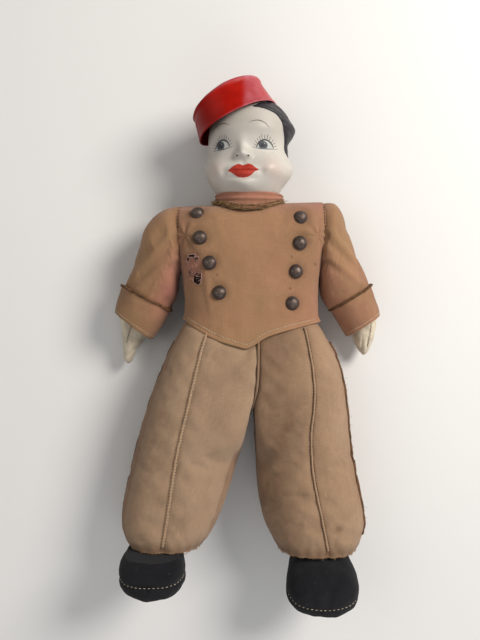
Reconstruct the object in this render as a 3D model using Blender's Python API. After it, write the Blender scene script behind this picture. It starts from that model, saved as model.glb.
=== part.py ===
"""Cloth page-boy doll lying on its back, in metres.

Frame: +Z is up and is the way the chest faces, +Y runs from the waist to the head, and +X is
the doll's left. The origin is the point of the tunic's back that the chest rests on.

The doll is a stuffed cloth torso in a two-panel tunic, a hollow moulded head tied to a neck
stump, two stuffed arms in sleeves, two stuffed trouser legs and two cloth shoes.
"""
import math

import bmesh
import bpy
from mathutils import Matrix, Vector

# Cloth and clearances
CLOTH = 0.0012                 # thickness of the tunic, sleeve, collar and cuff cloth
EASE = 0.0019                  # tunic's outer face above the stuffed body
GAP = 0.0004                   # gap kept between pieces that touch
RING = 24                      # points round a stuffed form
ARM_RING = 22                  # points round an arm or sleeve
SOFT = 2.4                     # superellipse power of a stuffed form lying down
LAY_HEIGHT = 0.0285            # height of the torso's middle above the table

# Body outline from the crotch to the shoulders: (y, half width, half depth)
BODY_ROWS = [
    (-0.0522, 0.0615, 0.0285),
    (-0.0460, 0.0595, 0.0282),
    (-0.0400, 0.0570, 0.0280),
    (-0.0350, 0.0530, 0.0275),
    (-0.0310, 0.0485, 0.0270),
    (-0.0260, 0.0470, 0.0265),
    (-0.0100, 0.0475, 0.0268),
    (0.0100, 0.0495, 0.0272),
    (0.0260, 0.0530, 0.0270),
    (0.0380, 0.0550, 0.0250),
    (0.0460, 0.0548, 0.0205),
    (0.0505, 0.0535, 0.0145),
    (0.0530, 0.0500, 0.0060),
]
SEAT_TOP = -0.0264             # where the trouser seat meets the torso bag
SHOULDER_LINE = 0.0557         # top edge of the tunic, on the shoulder seam
SEAM_RISE = 0.0014             # how far each panel's top edge stands off the shoulder seam
SEAM_APART = 0.0006            # half the gap between the two panels at their seams
SHOULDER_ROUND = 0.0400        # above this the tunic's rows are lifted by EASE too
HEM_BACK = -0.0310             # straight back hem
HEM_SIDE = -0.0300             # front hem at the side seams
HEM_POINT = -0.0495            # lowest point of the front hem
HEM_POINT_X = -0.0020

# Neck and head
NECK = Vector((0.0, 0.0500, LAY_HEIGHT))      # centre of the nod
NECK_BALL = 0.0160
STUMP_RADIUS = 0.0125
STUMP_TOP = 0.0780
HEAD_NECK_RADIUS = 0.0180
HEAD_NECK_BORE = 0.0152
HEAD_NECK_END = 0.0570
HEAD_WALL = 0.0035
COLLAR_RADIUS = 0.0222
COLLAR_TOP = 0.0604
COLLAR_BASE = 0.0572           # at the shoulders
COLLAR_DIP = 0.0060            # how far the base drops at front and back
BRAID = 0.0011                 # radius of the twisted cord trim
NECK_OPENING = 0.0242
# (y, sideways shift, half width, back z, front z)
HEAD_ROWS = [
    (0.0610, 0.0000, 0.0195, 0.0090, 0.0480),
    (0.0635, -0.0004, 0.0245, 0.0070, 0.0535),
    (0.0680, -0.0008, 0.0290, 0.0045, 0.0580),
    (0.0740, -0.0010, 0.0315, 0.0025, 0.0605),
    (0.0810, -0.0012, 0.0324, 0.0010, 0.0615),
    (0.0890, -0.0014, 0.0312, 0.0002, 0.0610),
    (0.0970, -0.0016, 0.0302, 0.0000, 0.0600),
    (0.1060, -0.0012, 0.0312, 0.0000, 0.0600),
    (0.1160, -0.0010, 0.0300, 0.0015, 0.0580),
    (0.1250, -0.0012, 0.0255, 0.0065, 0.0530),
    (0.1320, -0.0016, 0.0175, 0.0140, 0.0450),
    (0.1355, -0.0020, 0.0070, 0.0240, 0.0350),
]

# Pillbox hat, cocked to the doll's right
HAT_RADIUS = 0.0303
HAT_HEIGHT = 0.0238
HAT_BASE = Vector((-0.0090, 0.1128, 0.0320))
HAT_TILT = math.radians(25)
HAT_ROUND = 0.0016

# Arms: stations along the arm from the shoulder's centre, (s, outward shift, half width, half depth)
SHOULDER = Vector((0.0620, 0.0330, 0.0270))
SOCKET = 0.0175
ARM_ANGLES = {-1: math.radians(20.5), 1: math.radians(18.5)}   # away from straight down, right and left
ARM_DROP = 0.17                # fall towards the table for each metre along the arm
CUFF_SLANT = math.radians(13)
SLEEVE_ROWS = [
    (-0.0165, 0.0000, 0.0040, 0.0040),
    (-0.0140, 0.0000, 0.0096, 0.0096),
    (-0.0090, 0.0000, 0.0144, 0.0144),
    (-0.0030, 0.0000, 0.0167, 0.0167),
    (0.0030, 0.0000, 0.0167, 0.0167),
    (0.0080, 0.0006, 0.0143, 0.0150),
    (0.0150, 0.0037, 0.0118, 0.0154),
    (0.0210, 0.0036, 0.0132, 0.0154),
    (0.0275, 0.0011, 0.0160, 0.0152),
    (0.0400, 0.0000, 0.0172, 0.0150),
    (0.0540, 0.0000, 0.0172, 0.0148),
    (0.0680, 0.0000, 0.0166, 0.0143),
]
ARM_ROWS = [
    (-0.0125, 0.0000, 0.0040, 0.0040),
    (-0.0090, 0.0000, 0.0085, 0.0085),
    (-0.0020, 0.0000, 0.0120, 0.0120),
    (0.0070, 0.0006, 0.0108, 0.0118),
    (0.0150, 0.0037, 0.0094, 0.0118),
    (0.0210, 0.0030, 0.0106, 0.0112),
    (0.0300, 0.0008, 0.0120, 0.0104),
    (0.0500, 0.0000, 0.0108, 0.0092),
    (0.0680, 0.0000, 0.0094, 0.0080),
    (0.0800, 0.0000, 0.0086, 0.0070),
    (0.0900, 0.0010, 0.0080, 0.0062),
    (0.0970, 0.0012, 0.0056, 0.0048),
    (0.1005, 0.0012, 0.0028, 0.0026),
]
CUFF_START = 0.0440
CUFF_END = 0.0700
CUFF_EASE = 0.0017             # cuff's outer face above the sleeve's
ARMHOLE_RING = (0.0178, 0.0205)
ARMHOLE_PLANE = (0.0581, 0.0589)

# Trouser legs: (y, middle x, half width, half depth)
RIGHT_LEG_ROWS = [
    (-0.0528, -0.0290, 0.0326, 0.0285),
    (-0.0640, -0.0306, 0.0340, 0.0290),
    (-0.0800, -0.0345, 0.0368, 0.0295),
    (-0.0980, -0.0390, 0.0379, 0.0295),
    (-0.1365, -0.0503, 0.0385, 0.0295),
    (-0.1580, -0.0555, 0.0370, 0.0290),
    (-0.1750, -0.0593, 0.0352, 0.0282),
    (-0.1850, -0.0612, 0.0320, 0.0274),
    (-0.1930, -0.0628, 0.0285, 0.0262),
]
LEFT_LEG_ROWS = [
    (-0.0528, 0.0340, 0.0280, 0.0285),
    (-0.0640, 0.0344, 0.0294, 0.0290),
    (-0.0800, 0.0354, 0.0313, 0.0295),
    (-0.0965, 0.0362, 0.0330, 0.0295),
    (-0.1150, 0.0374, 0.0340, 0.0295),
    (-0.1320, 0.0388, 0.0355, 0.0295),
    (-0.1550, 0.0423, 0.0368, 0.0295),
    (-0.1680, 0.0450, 0.0368, 0.0290),
    (-0.1835, 0.0474, 0.0347, 0.0280),
    (-0.1910, 0.0482, 0.0318, 0.0272),
    (-0.1970, 0.0490, 0.0285, 0.0262),
]
LEG_HEIGHT = 0.0293            # height of the legs' middle
# Pinched pleat sewn down the front of each leg, as (x, y)
RIGHT_PLEAT = [(-0.0360, -0.0560), (-0.0390, -0.0660), (-0.0442, -0.0892), (-0.0521, -0.1210),
               (-0.0594, -0.1647), (-0.0640, -0.1900)]
LEFT_PLEAT = [(0.0410, -0.0560), (0.0436, -0.0694), (0.0444, -0.0853), (0.0420, -0.1065),
              (0.0420, -0.1250), (0.0440, -0.1449), (0.0473, -0.1609), (0.0530, -0.1900)]
HIP_LINE = -0.0525             # the fold that each leg raises about, across the front of the seat
HIP_HEIGHT = 0.0592
HIP_X = 0.0320
PLEAT_WIDTH = 0.0014
PLEAT_HEIGHT = 0.0015
SIDE_BRAID_WIDTH = 0.0040
SIDE_BRAID_THICK = 0.0012
SIDE_BRAID_SPAN = (-0.0560, -0.1840)

# Shoes: stations from heel to toe, (s, half width, vamp height above the seam, sole depth below it)
ANKLE_BALL = 0.0100
ANKLE_UP = math.radians(11)    # room for the toes to rise towards the shin
ANKLE_DOWN = math.radians(9)   # and to fall away from it
SHOE_ROWS = [
    (0.0000, 0.0080, 0.0060, 0.0030),
    (0.0040, 0.0135, 0.0115, 0.0060),
    (0.0120, 0.0172, 0.0170, 0.0080),
    (0.0240, 0.0200, 0.0215, 0.0088),
    (0.0360, 0.0222, 0.0235, 0.0092),
    (0.0460, 0.0218, 0.0215, 0.0090),
    (0.0530, 0.0180, 0.0165, 0.0074),
    (0.0565, 0.0115, 0.0095, 0.0045),
]
SEAM_GAP = 0.0005
# ankle centre, heel place, the foot's lean away from upright, and its width against SHOE_ROWS
RIGHT_FOOT = (Vector((-0.0690, -0.1945, 0.0290)), Vector((-0.0700, -0.2010, 0.0120)), 15, 1.0)
LEFT_FOOT = (Vector((0.0510, -0.1995, 0.0290)), Vector((0.0505, -0.2012, 0.0120)), 33, 1.12)

# Domed buttons on the tunic's front, from the shoulder down, as (x, y)
RIGHT_BUTTONS = [(-0.0385, 0.0462), (-0.0362, 0.0282), (-0.0295, 0.0105), (-0.0225, -0.0105)]
LEFT_BUTTONS = [(0.0345, 0.0425), (0.0338, 0.0242), (0.0310, 0.0045), (0.0285, -0.0178)]
BUTTON_RADIUS = 0.0051
BUTTON_HEIGHT = 0.0030
SHANK_RADIUS = 0.0009
SHANK_HOLE = 0.00125

X, Y, Z = Vector((1, 0, 0)), Vector((0, 1, 0)), Vector((0, 0, 1))


def clear_scene():
    for obj in list(bpy.data.objects):
        bpy.data.objects.remove(obj)


def paint(name, colour, roughness=0.9, metallic=0.0):
    """A plain Principled material."""
    made = bpy.data.materials.new(name)
    made.use_nodes = True
    shader = made.node_tree.nodes["Principled BSDF"]
    shader.inputs["Base Color"].default_value = (*colour, 1)
    shader.inputs["Roughness"].default_value = roughness
    shader.inputs["Metallic"].default_value = metallic
    return made


def row_at(rows, along):
    """The row at that place, by straight interpolation on the first column."""
    rows = sorted(rows)
    if along <= rows[0][0]:
        return rows[0][1:]
    for low, high in zip(rows, rows[1:]):
        if along <= high[0]:
            share = (along - low[0]) / (high[0] - low[0])
            return tuple(a + share * (b - a) for a, b in zip(low[1:], high[1:]))
    return rows[-1][1:]


def round_power(angle, power):
    """Cosine and sine of a superellipse's angle."""
    c, s = math.cos(angle), math.sin(angle)
    return (math.copysign(abs(c) ** (2 / power), c), math.copysign(abs(s) ** (2 / power), s))


def ring(centre, half_width, half_depth, across=X, deep=Z, power=SOFT, count=RING, floor=0.0):
    """Points of a superellipse, none lower than floor."""
    points = []
    for i in range(count):
        c, s = round_power(2 * math.pi * i / count, power)
        point = centre + across * (half_width * c) + deep * (half_depth * s)
        point.z = max(point.z, floor)
        points.append(point)
    return points


def put_in_scene(name, mesh, material, smooth=True):
    obj = bpy.data.objects.new(name, mesh)
    bpy.context.scene.collection.objects.link(obj)
    mesh.materials.append(material)
    if smooth:
        mesh.shade_smooth()
        mesh.set_sharp_from_angle(angle=math.radians(50))
    return obj


def to_object(name, bm, material, smooth=True):
    bmesh.ops.recalc_face_normals(bm, faces=bm.faces)
    mesh = bpy.data.meshes.new(name)
    bm.to_mesh(mesh)
    bm.free()
    return put_in_scene(name, mesh, material, smooth)


def bridge(bm, rings, wrap_rings=False, wrap_points=True):
    """Quads between one ring and the next."""
    made = [[bm.verts.new(p) for p in points] for points in rings]
    pairs = list(zip(made, made[1:] + made[:1])) if wrap_rings else list(zip(made, made[1:]))
    for low, high in pairs:
        count = len(low)
        for i in range(count if wrap_points else count - 1):
            j = (i + 1) % count
            bm.faces.new((low[i], low[j], high[j], high[i]))
    return made


def loft(name, rings, material):
    """A closed solid through the rings, with flat ends."""
    bm = bmesh.new()
    made = bridge(bm, rings)
    bm.faces.new(made[0])
    bm.faces.new(made[-1])
    return to_object(name, bm, material)


def tube(name, outside, inside, material):
    """A closed wall between two sets of rings, open at both ends."""
    bm = bmesh.new()
    bridge(bm, outside + inside[::-1], wrap_rings=True)
    return to_object(name, bm, material)


def cut(obj, *cutters):
    for cutter in cutters:
        boolean = obj.modifiers.new("cut", "BOOLEAN")
        boolean.operation = "DIFFERENCE"
        boolean.object = cutter


def join(obj, other):
    """Adds another shape to obj by a Boolean union; the other shape is a helper."""
    boolean = obj.modifiers.new("join", "BOOLEAN")
    boolean.operation = "UNION"
    boolean.object = other
    return as_helper(other)


def as_helper(obj):
    obj.hide_render = True
    obj.display_type = "WIRE"
    return obj


def ball(name, centre, radius, material, segments=28):
    bm = bmesh.new()
    bmesh.ops.create_uvsphere(bm, u_segments=segments, v_segments=segments // 2, radius=radius)
    bmesh.ops.translate(bm, verts=bm.verts, vec=centre)
    return to_object(name, bm, material)


def cylinder(name, start, end, radius, material, count=24):
    """A round bar from start to end."""
    along = (end - start).normalized()
    across = along.orthogonal().normalized()
    deep = along.cross(across)
    rings = [ring(p, radius, radius, across, deep, power=2, count=count, floor=-1) for p in (start, end)]
    return loft(name, rings, material)


def closed_cord(name, points, radius, material, sides=6):
    """A round cord along a closed loop of points."""
    rings = []
    count = len(points)
    for i, point in enumerate(points):
        along = (points[(i + 1) % count] - points[i - 1]).normalized()
        across = along.cross(Z).normalized() if abs(along.z) < 0.9 else along.cross(X).normalized()
        middle = sum(points, Vector()) / count
        out = (point - middle)
        out = (out - along * out.dot(along)).normalized()
        across = along.cross(out)
        rings.append(ring(point, radius, radius, out, across, power=2, count=sides, floor=-1))
    bm = bmesh.new()
    bridge(bm, rings, wrap_rings=True)
    return to_object(name, bm, material)


# Torso, tunic and trouser seat

def body_ring(y, more=0.0, floor=0.0, rows=BODY_ROWS):
    half_width, half_depth = row_at(rows, y)
    return ring(Vector((0, y, LAY_HEIGHT)), half_width + more, half_depth + more, floor=floor)


def body_front(x, y, more=0.0):
    """Height of the body's front at x, y, raised by more."""
    half_width, half_depth = row_at(BODY_ROWS, y)
    share = min(abs(x) / (half_width + more), 1)
    return LAY_HEIGHT + (half_depth + more) * (1 - share ** SOFT) ** (1 / SOFT)


def hem_front(x):
    """The front hem: two slanting edges that meet at a point left of the middle."""
    side = row_at(BODY_ROWS, HEM_SIDE)[0] + EASE
    reach = side + HEM_POINT_X if x < HEM_POINT_X else side - HEM_POINT_X
    share = min(abs(x - HEM_POINT_X) / reach, 1)
    return HEM_POINT + (HEM_SIDE - HEM_POINT) * share ** 0.85


def tunic_rows():
    """The rows of the tunic's outer face: EASE over the body, and closed along the shoulder seam."""
    rows = [(y + (EASE if y > SHOULDER_ROUND else 0), a + EASE, b + EASE) for y, a, b in BODY_ROWS]
    return rows + [(SHOULDER_LINE, BODY_ROWS[-1][1], SEAM_RISE)]


def tunic_point(angle, down):
    """A point of the tunic's outer face: angle round the body from the doll's left, down from 0 at the
    shoulder seam to 1 at the hem."""
    c, s = round_power(angle, SOFT)
    hem = HEM_BACK if s < 0 else hem_front(c * row_at(BODY_ROWS, HEM_SIDE)[0])
    y = SHOULDER_LINE + (hem - SHOULDER_LINE) * down
    half_width, half_depth = row_at(tunic_rows(), y)
    apart = SEAM_APART if s > 0 else -SEAM_APART
    return Vector((half_width * c, y, max(LAY_HEIGHT + half_depth * s + apart, 0)))


def tunic_panel(name, start, end, material):
    """One cloth panel of the tunic, from one side seam to the other."""
    downs = [0, 0.012, 0.03, 0.055, 0.10, 0.19, 0.33, 0.52, 0.72, 0.88, 1.0]
    columns = 22
    seam = 0.008               # keeps the two panels apart at the side seams
    rings = [[tunic_point(start + seam + (end - start - 2 * seam) * i / columns, down)
              for i in range(columns + 1)] for down in downs]
    bm = bmesh.new()
    bridge(bm, rings, wrap_points=False)
    bmesh.ops.recalc_face_normals(bm, faces=bm.faces)
    middle = min(bm.faces, key=lambda f: (f.calc_center_median() - Vector((0, 0, rings[5][11].z))).length)
    if middle.normal.z * (1 if rings[5][11].z > LAY_HEIGHT else -1) < 0:
        bmesh.ops.reverse_faces(bm, faces=bm.faces)
    mesh = bpy.data.meshes.new(name)
    bm.to_mesh(mesh)
    bm.free()
    panel = put_in_scene(name, mesh, material)
    cloth = panel.modifiers.new("cloth", "SOLIDIFY")
    cloth.thickness = CLOTH
    cloth.offset = -1
    return panel


def make_torso(cloth, under_cloth, trouser_cloth):
    lift = CLOTH + GAP
    ys = [y for y, _, _ in BODY_ROWS if y > SEAT_TOP]
    torso = loft("torso_stuffing", [body_ring(y, floor=lift) for y in [SEAT_TOP + GAP] + ys], under_cloth)
    seat_ys = [y for y, _, _ in BODY_ROWS if y < SEAT_TOP] + [SEAT_TOP]
    seat_rings = [body_ring(y, floor=lift if y > HEM_BACK - 0.0005 else 0.0) for y in seat_ys]
    loft("trouser_seat", seat_rings, trouser_cloth)
    front = tunic_panel("tunic_front", 0, math.pi, cloth)
    back = tunic_panel("tunic_back", math.pi, 2 * math.pi, cloth)
    sockets = [as_helper(ball(f"socket_{side}", mirrored(SHOULDER, side), SOCKET, cloth)) for side in (-1, 1)]
    for piece in (torso, front, back):
        cut(piece, *sockets)
    neck_socket = as_helper(ball("neck_socket", NECK, NECK_BALL + GAP, cloth))
    hole_ends = [Vector((0, y, LAY_HEIGHT)) for y in (0.0385, 0.0700)]
    neck_hole = as_helper(cylinder("neck_hole", *hole_ends, NECK_OPENING, cloth))
    cut(torso, neck_socket)
    cut(front, neck_hole)
    cut(back, neck_hole)
    return front


def make_buttons(tunic_front, brass):
    """Domed buttons, each with a shank that passes through its own hole in the cloth."""
    for side, places in (("right", RIGHT_BUTTONS), ("left", LEFT_BUTTONS)):
        for number, (x, y) in enumerate(places, 1):
            step = 0.002
            foot = Vector((x, y, tunic_front_height(x, y)))
            slope_x = (tunic_front_height(x + step, y) - tunic_front_height(x - step, y)) / (2 * step)
            slope_y = (tunic_front_height(x, y + step) - tunic_front_height(x, y - step)) / (2 * step)
            out = Vector((-slope_x, -slope_y, 1)).normalized()
            lift = 0.0005 + BUTTON_RADIUS ** 2 * 9   # clears the curve of the cloth under the rim
            button(f"tunic_button_{side}_{number}", foot + out * lift, out, brass, lift)
            hole = as_helper(cylinder(f"hole_{side}_{number}", foot - out * 0.004, foot + out * 0.004,
                                      SHANK_HOLE, brass, count=8))
            cut(tunic_front, hole)


def tunic_front_height(x, y):
    """Height of the tunic's outer face at the front."""
    half_width, half_depth = row_at(tunic_rows(), y)
    share = min(abs(x) / half_width, 1)
    return LAY_HEIGHT + half_depth * (1 - share ** SOFT) ** (1 / SOFT)


def button(name, foot, out, material, shank):
    """A dome turned about out: a rounded rim, a low crown, and a shank below."""
    across = out.orthogonal().normalized()
    deep = out.cross(across)
    profile = [(SHANK_RADIUS, -shank - CLOTH * 0.9), (SHANK_RADIUS, 0.0), (BUTTON_RADIUS - 0.0006, 0.0),
               (BUTTON_RADIUS, 0.0005)]
    steps = 3
    for i in range(1, steps + 1):
        angle = math.radians(76) * i / steps
        profile.append((BUTTON_RADIUS * math.cos(angle), 0.0005 + (BUTTON_HEIGHT - 0.0005) * math.sin(angle)))
    rings = [ring(foot + out * h, r, r, across, deep, power=2, count=14, floor=-1) for r, h in profile]
    return loft(name, rings, material)


# Neck and head

def neck_loop(radius, y_side, dip, count=28):
    """A loop round the neck whose front and back hang lower than its sides."""
    points = []
    for i in range(count):
        angle = 2 * math.pi * i / count
        y = y_side - dip * math.sin(angle) ** 2
        points.append(Vector((radius * math.cos(angle), y, LAY_HEIGHT + radius * math.sin(angle))))
    return points


def make_neck(cloth, under_cloth, gold):
    stump = ball("neck_stump", NECK, NECK_BALL, under_cloth)
    join(stump, cylinder("stump_post", NECK, Vector((0, STUMP_TOP, LAY_HEIGHT)), STUMP_RADIUS, under_cloth))
    inner = COLLAR_RADIUS - CLOTH
    low = COLLAR_BASE + BRAID + GAP
    tube("stand_collar",
         [neck_loop(COLLAR_RADIUS, low, COLLAR_DIP), neck_loop(COLLAR_RADIUS, COLLAR_TOP, 0)],
         [neck_loop(inner, low, COLLAR_DIP), neck_loop(inner, COLLAR_TOP, 0)], cloth)
    closed_cord("collar_braid", neck_loop(COLLAR_RADIUS - BRAID, COLLAR_BASE, COLLAR_DIP), BRAID, gold)


def head_rings(inset=0.0):
    """Rings of the head's outside, or of a surface that lies inset deeper."""
    rings = []
    for y, shift, half_width, back, front in HEAD_ROWS:
        middle = Vector((shift, y, (back + front) / 2))
        half_depth = (front - back) / 2
        if half_width > 2.2 * inset:
            rings.append(ring(middle, half_width - inset, half_depth - inset, power=2.15))
    return rings


def make_head(skin, red):
    neck_y = [HEAD_NECK_END, HEAD_ROWS[0][0] - 0.0008]
    outside = [ring(Vector((0, y, LAY_HEIGHT)), HEAD_NECK_RADIUS, HEAD_NECK_RADIUS, power=2) for y in neck_y]
    inside = [ring(Vector((0, y, LAY_HEIGHT)), HEAD_NECK_BORE, HEAD_NECK_BORE, power=2) for y in neck_y]
    crown_y = HEAD_ROWS[-1][0]
    inner_rings = [r for r in head_rings(HEAD_WALL) if r[0].y < crown_y - HEAD_WALL][1:-1]
    bm = bmesh.new()
    made = bridge(bm, outside + head_rings())
    bm.faces.new(made[-1])
    made_inside = bridge(bm, inside + inner_rings)
    bm.faces.new(made_inside[-1])
    for i in range(RING):
        j = (i + 1) % RING
        bm.faces.new((made[0][i], made[0][j], made_inside[0][j], made_inside[0][i]))
    bmesh.ops.recalc_face_normals(bm, faces=bm.faces)
    to_object("head_shell", bm, skin)
    keep_out = as_helper(loft("crown_space", head_rings(-GAP), skin))
    hat = make_hat(red)
    cut(hat, keep_out)


def make_hat(red):
    """A pillbox: a straight band with a rounded top edge, hollowed to sit on the crown."""
    up = Vector((-math.sin(HAT_TILT), math.cos(HAT_TILT), 0))
    across = Vector((math.cos(HAT_TILT), math.sin(HAT_TILT), 0))
    profile = [(HAT_RADIUS - 0.0006, 0.0), (HAT_RADIUS, 0.0008), (HAT_RADIUS, HAT_HEIGHT - HAT_ROUND),
               (HAT_RADIUS - HAT_ROUND * 0.3, HAT_HEIGHT - HAT_ROUND * 0.3),
               (HAT_RADIUS - HAT_ROUND, HAT_HEIGHT)]
    rings = [ring(HAT_BASE + up * h, r, r, across, Z, power=2, count=40) for r, h in profile]
    return loft("pillbox_hat", rings, red)


# Arms

def mirrored(point, side):
    """The point on the doll's left (1) or right (-1)."""
    return Vector((point.x * side, point.y, point.z))


def arm_frame(side):
    """Directions along the arm, outward across it, and through its depth."""
    angle = ARM_ANGLES[side]
    along = Vector((math.sin(angle) * side, -math.cos(angle), -ARM_DROP)).normalized()
    across = Vector((math.cos(angle) * side, math.sin(angle), 0))
    deep = along.cross(across).normalized() * side
    return along, across, deep


def arm_rings(side, rows, more=0.0, slant_from=1.0, power=2.2, floor=0.0):
    """Rings round the arm, slanted past slant_from so that the cuff's inner side is longer."""
    along, across, deep = arm_frame(side)
    rings = []
    for s, shift, half_width, half_depth in rows:
        centre = mirrored(SHOULDER, side) + along * s + across * shift
        shape = 2 if s < SOCKET / 2 else power
        points = ring(centre, half_width + more, half_depth + more, across, deep, shape, ARM_RING, floor)
        if s > slant_from:
            lean = math.tan(CUFF_SLANT)
            points = [p - along * ((p - centre).dot(across) * lean) for p in points]
            points = [Vector((p.x, p.y, max(p.z, floor))) for p in points]
        rings.append(points)
    return rings


def slanted(rows, along):
    """A row at that station, for the cuff."""
    return (along, *row_at(rows, along))


def make_arm(side, cloth, hand_cloth, gold, thread):
    word = "left" if side > 0 else "right"
    slant = CUFF_START - 0.001
    lift = 0.0019
    outside = arm_rings(side, SLEEVE_ROWS, slant_from=slant, floor=lift)
    inside = arm_rings(side, SLEEVE_ROWS[1:], more=-CLOTH, slant_from=slant, floor=lift + CLOTH)
    bm = bmesh.new()
    made, made_inside = bridge(bm, outside), bridge(bm, inside)
    bm.faces.new(made[0])
    bm.faces.new(made_inside[0])
    for i in range(ARM_RING):
        j = (i + 1) % ARM_RING
        bm.faces.new((made[-1][i], made[-1][j], made_inside[-1][j], made_inside[-1][i]))
    to_object(f"{word}_sleeve", bm, cloth)
    loft(f"{word}_arm_and_hand", arm_rings(side, ARM_ROWS, floor=lift + CLOTH + GAP), hand_cloth)
    steps = [CUFF_START, 0.052, 0.061, CUFF_END]
    rows = [slanted(SLEEVE_ROWS, s) for s in steps]
    tube(f"{word}_cuff", arm_rings(side, rows, more=CUFF_EASE, slant_from=slant),
         arm_rings(side, rows, more=CUFF_EASE - CLOTH, slant_from=slant, floor=lift - 0.0004), cloth)
    braid_row = [slanted(SLEEVE_ROWS, CUFF_START - 0.0018)]
    loop = arm_rings(side, braid_row, more=BRAID + GAP, slant_from=0, floor=BRAID)[0]
    closed_cord(f"{word}_cuff_braid", loop, BRAID, gold)
    inner, outer = ARMHOLE_RING
    near, far = ARMHOLE_PLANE
    centre = mirrored(SHOULDER, side)
    rings = [ring(Vector((x * side, centre.y, centre.z)), r, r, Y, Z, power=2, count=30)
             for x, r in ((near, inner), (near, outer), (far, outer), (far, inner))]
    bm = bmesh.new()
    bridge(bm, rings, wrap_rings=True)
    to_object(f"{word}_armhole_seam", bm, thread)


# Legs and shoes

def leg_front(rows, x, y, more=0.0):
    middle, half_width, half_depth = row_at(rows, y)
    share = min(abs(x - middle) / (half_width + more), 1)
    return LEG_HEIGHT + (half_depth + more) * (1 - share ** SOFT) ** (1 / SOFT)


def resampled(points, count):
    """Points spaced evenly along a line of (x, y)."""
    lengths = [0.0]
    for a, b in zip(points, points[1:]):
        lengths.append(lengths[-1] + math.dist(a, b))
    made = []
    for i in range(count):
        want = lengths[-1] * i / (count - 1)
        at = max(k for k, length in enumerate(lengths[:-1]) if length <= want + 1e-9)
        share = (want - lengths[at]) / (lengths[at + 1] - lengths[at])
        made.append(tuple(a + share * (b - a) for a, b in zip(points[at], points[at + 1])))
    return made


def make_leg(word, rows, pleat, cloth, gold):
    side = 1 if word == "left" else -1
    rings = [ring(Vector((x, y, LEG_HEIGHT)), a, b) for y, x, a, b in rows]
    leg = loft(f"{word}_trouser_leg", rings, cloth)
    strip = []
    for x, y in resampled(pleat, 18):
        low = leg_front(rows, x - PLEAT_WIDTH / 2, y), leg_front(rows, x + PLEAT_WIDTH / 2, y)
        foot = max(low) + GAP
        half = PLEAT_WIDTH / 2
        crest = foot + PLEAT_HEIGHT
        strip.append([Vector((x - half, y, foot)), Vector((x + half, y, foot)),
                      Vector((x + half * 0.5, y, crest)), Vector((x - half * 0.5, y, crest))])
    loft(f"{word}_front_pleat", strip, cloth)
    strip = []
    top, bottom = SIDE_BRAID_SPAN
    for y in [top] + [row[0] for row in rows if bottom < row[0] < top] + [bottom]:
        middle, half_width, _ = row_at(rows, y)
        near = middle + side * (half_width + GAP)
        far = near + side * SIDE_BRAID_THICK
        half = SIDE_BRAID_WIDTH / 2
        strip.append([Vector((x, y, LEG_HEIGHT + h)) for x, h in
                      ((near, -half), (far, -half * 0.8), (far, half * 0.8), (near, half))])
    loft(f"{word}_side_braid", strip, gold)
    return leg


def shoe_rings(foot, hem, upper):
    """Rings from heel to toe of the upper, on the vamp side of the seam, or of the sole below it. All
    stay far enough off the hem for the ankle to bend."""
    ankle, heel, lean, width = foot
    angle = math.radians(lean)
    toe = Vector((0, -math.sin(angle), math.cos(angle)))
    vamp = Vector((0, math.cos(angle), math.sin(angle)))
    rings = []
    half_count = 12
    for s, half_width, height, depth in SHOE_ROWS:
        centre = heel + toe * s
        points = []
        for i in range(half_count + 1):
            c, sn = round_power(math.pi * i / half_count, 2.3)
            rise = height * sn + SEAM_GAP / 2 if upper else -depth * sn - SEAM_GAP / 2
            point = centre + X * (half_width * width * c) + vamp * rise
            room = math.tan(ANKLE_UP if point.z > ankle.z else ANKLE_DOWN) * abs(point.z - ankle.z)
            point.y = min(point.y, hem - GAP - room)
            point.z = max(point.z, 0)
            points.append(point)
        rings.append(points)
    return rings


def make_foot(word, foot, leg, hem, black):
    ankle = foot[0]
    upper = loft(f"{word}_shoe_upper", shoe_rings(foot, hem, upper=True), black)
    join(upper, ball(f"ankle_{word}", ankle, ANKLE_BALL, black, segments=20))
    loft(f"{word}_shoe_sole", shoe_rings(foot, hem, upper=False), black)
    cut(leg, as_helper(ball(f"ankle_socket_{word}", ankle, ANKLE_BALL + 0.0007, black, segments=20)))


# Assembly

def joint_point(name, place, carrier=None):
    """An empty on a joint's axis, for the pieces that move with it."""
    empty = bpy.data.objects.new(name, None)
    bpy.context.scene.collection.objects.link(empty)
    empty.empty_display_size = 0.01
    empty.parent = carrier
    empty.location = place - (stand(carrier) if carrier else Vector())
    return empty


def stand(obj):
    """Where an empty stands in the scene, through its parents."""
    return obj.location + (stand(obj.parent) if obj.parent else Vector())


def hang(empty, *names):
    """Puts the named pieces under the empty without moving them."""
    for name in names:
        piece = bpy.data.objects[name]
        piece.parent = empty
        piece.location = -stand(empty)


def assemble():
    """Parents every moving piece to its joint."""
    neck = joint_point("neck_joint", NECK)
    hang(neck, "neck_stump", "stand_collar", "collar_braid")
    head = joint_point("head_joint", NECK + Vector((0, COLLAR_TOP - NECK.y, 0)), neck)
    hang(head, "head_shell", "pillbox_hat")
    for word, side, foot in (("right", -1, RIGHT_FOOT), ("left", 1, LEFT_FOOT)):
        shoulder = joint_point(f"{word}_shoulder_joint", mirrored(SHOULDER, side))
        hang(shoulder, f"{word}_armhole_seam")
        arm = joint_point(f"{word}_arm_joint", mirrored(SHOULDER, side), shoulder)
        hang(arm, *(f"{word}_{piece}" for piece in ("sleeve", "cuff", "cuff_braid", "arm_and_hand")))
        hip = joint_point(f"{word}_hip_joint", Vector((HIP_X * side, HIP_LINE, HIP_HEIGHT)))
        hang(hip, *(f"{word}_{piece}" for piece in ("trouser_leg", "front_pleat", "side_braid")))
        ankle = joint_point(f"{word}_ankle_joint", foot[0], hip)
        hang(ankle, f"{word}_shoe_upper", f"{word}_shoe_sole")


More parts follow.
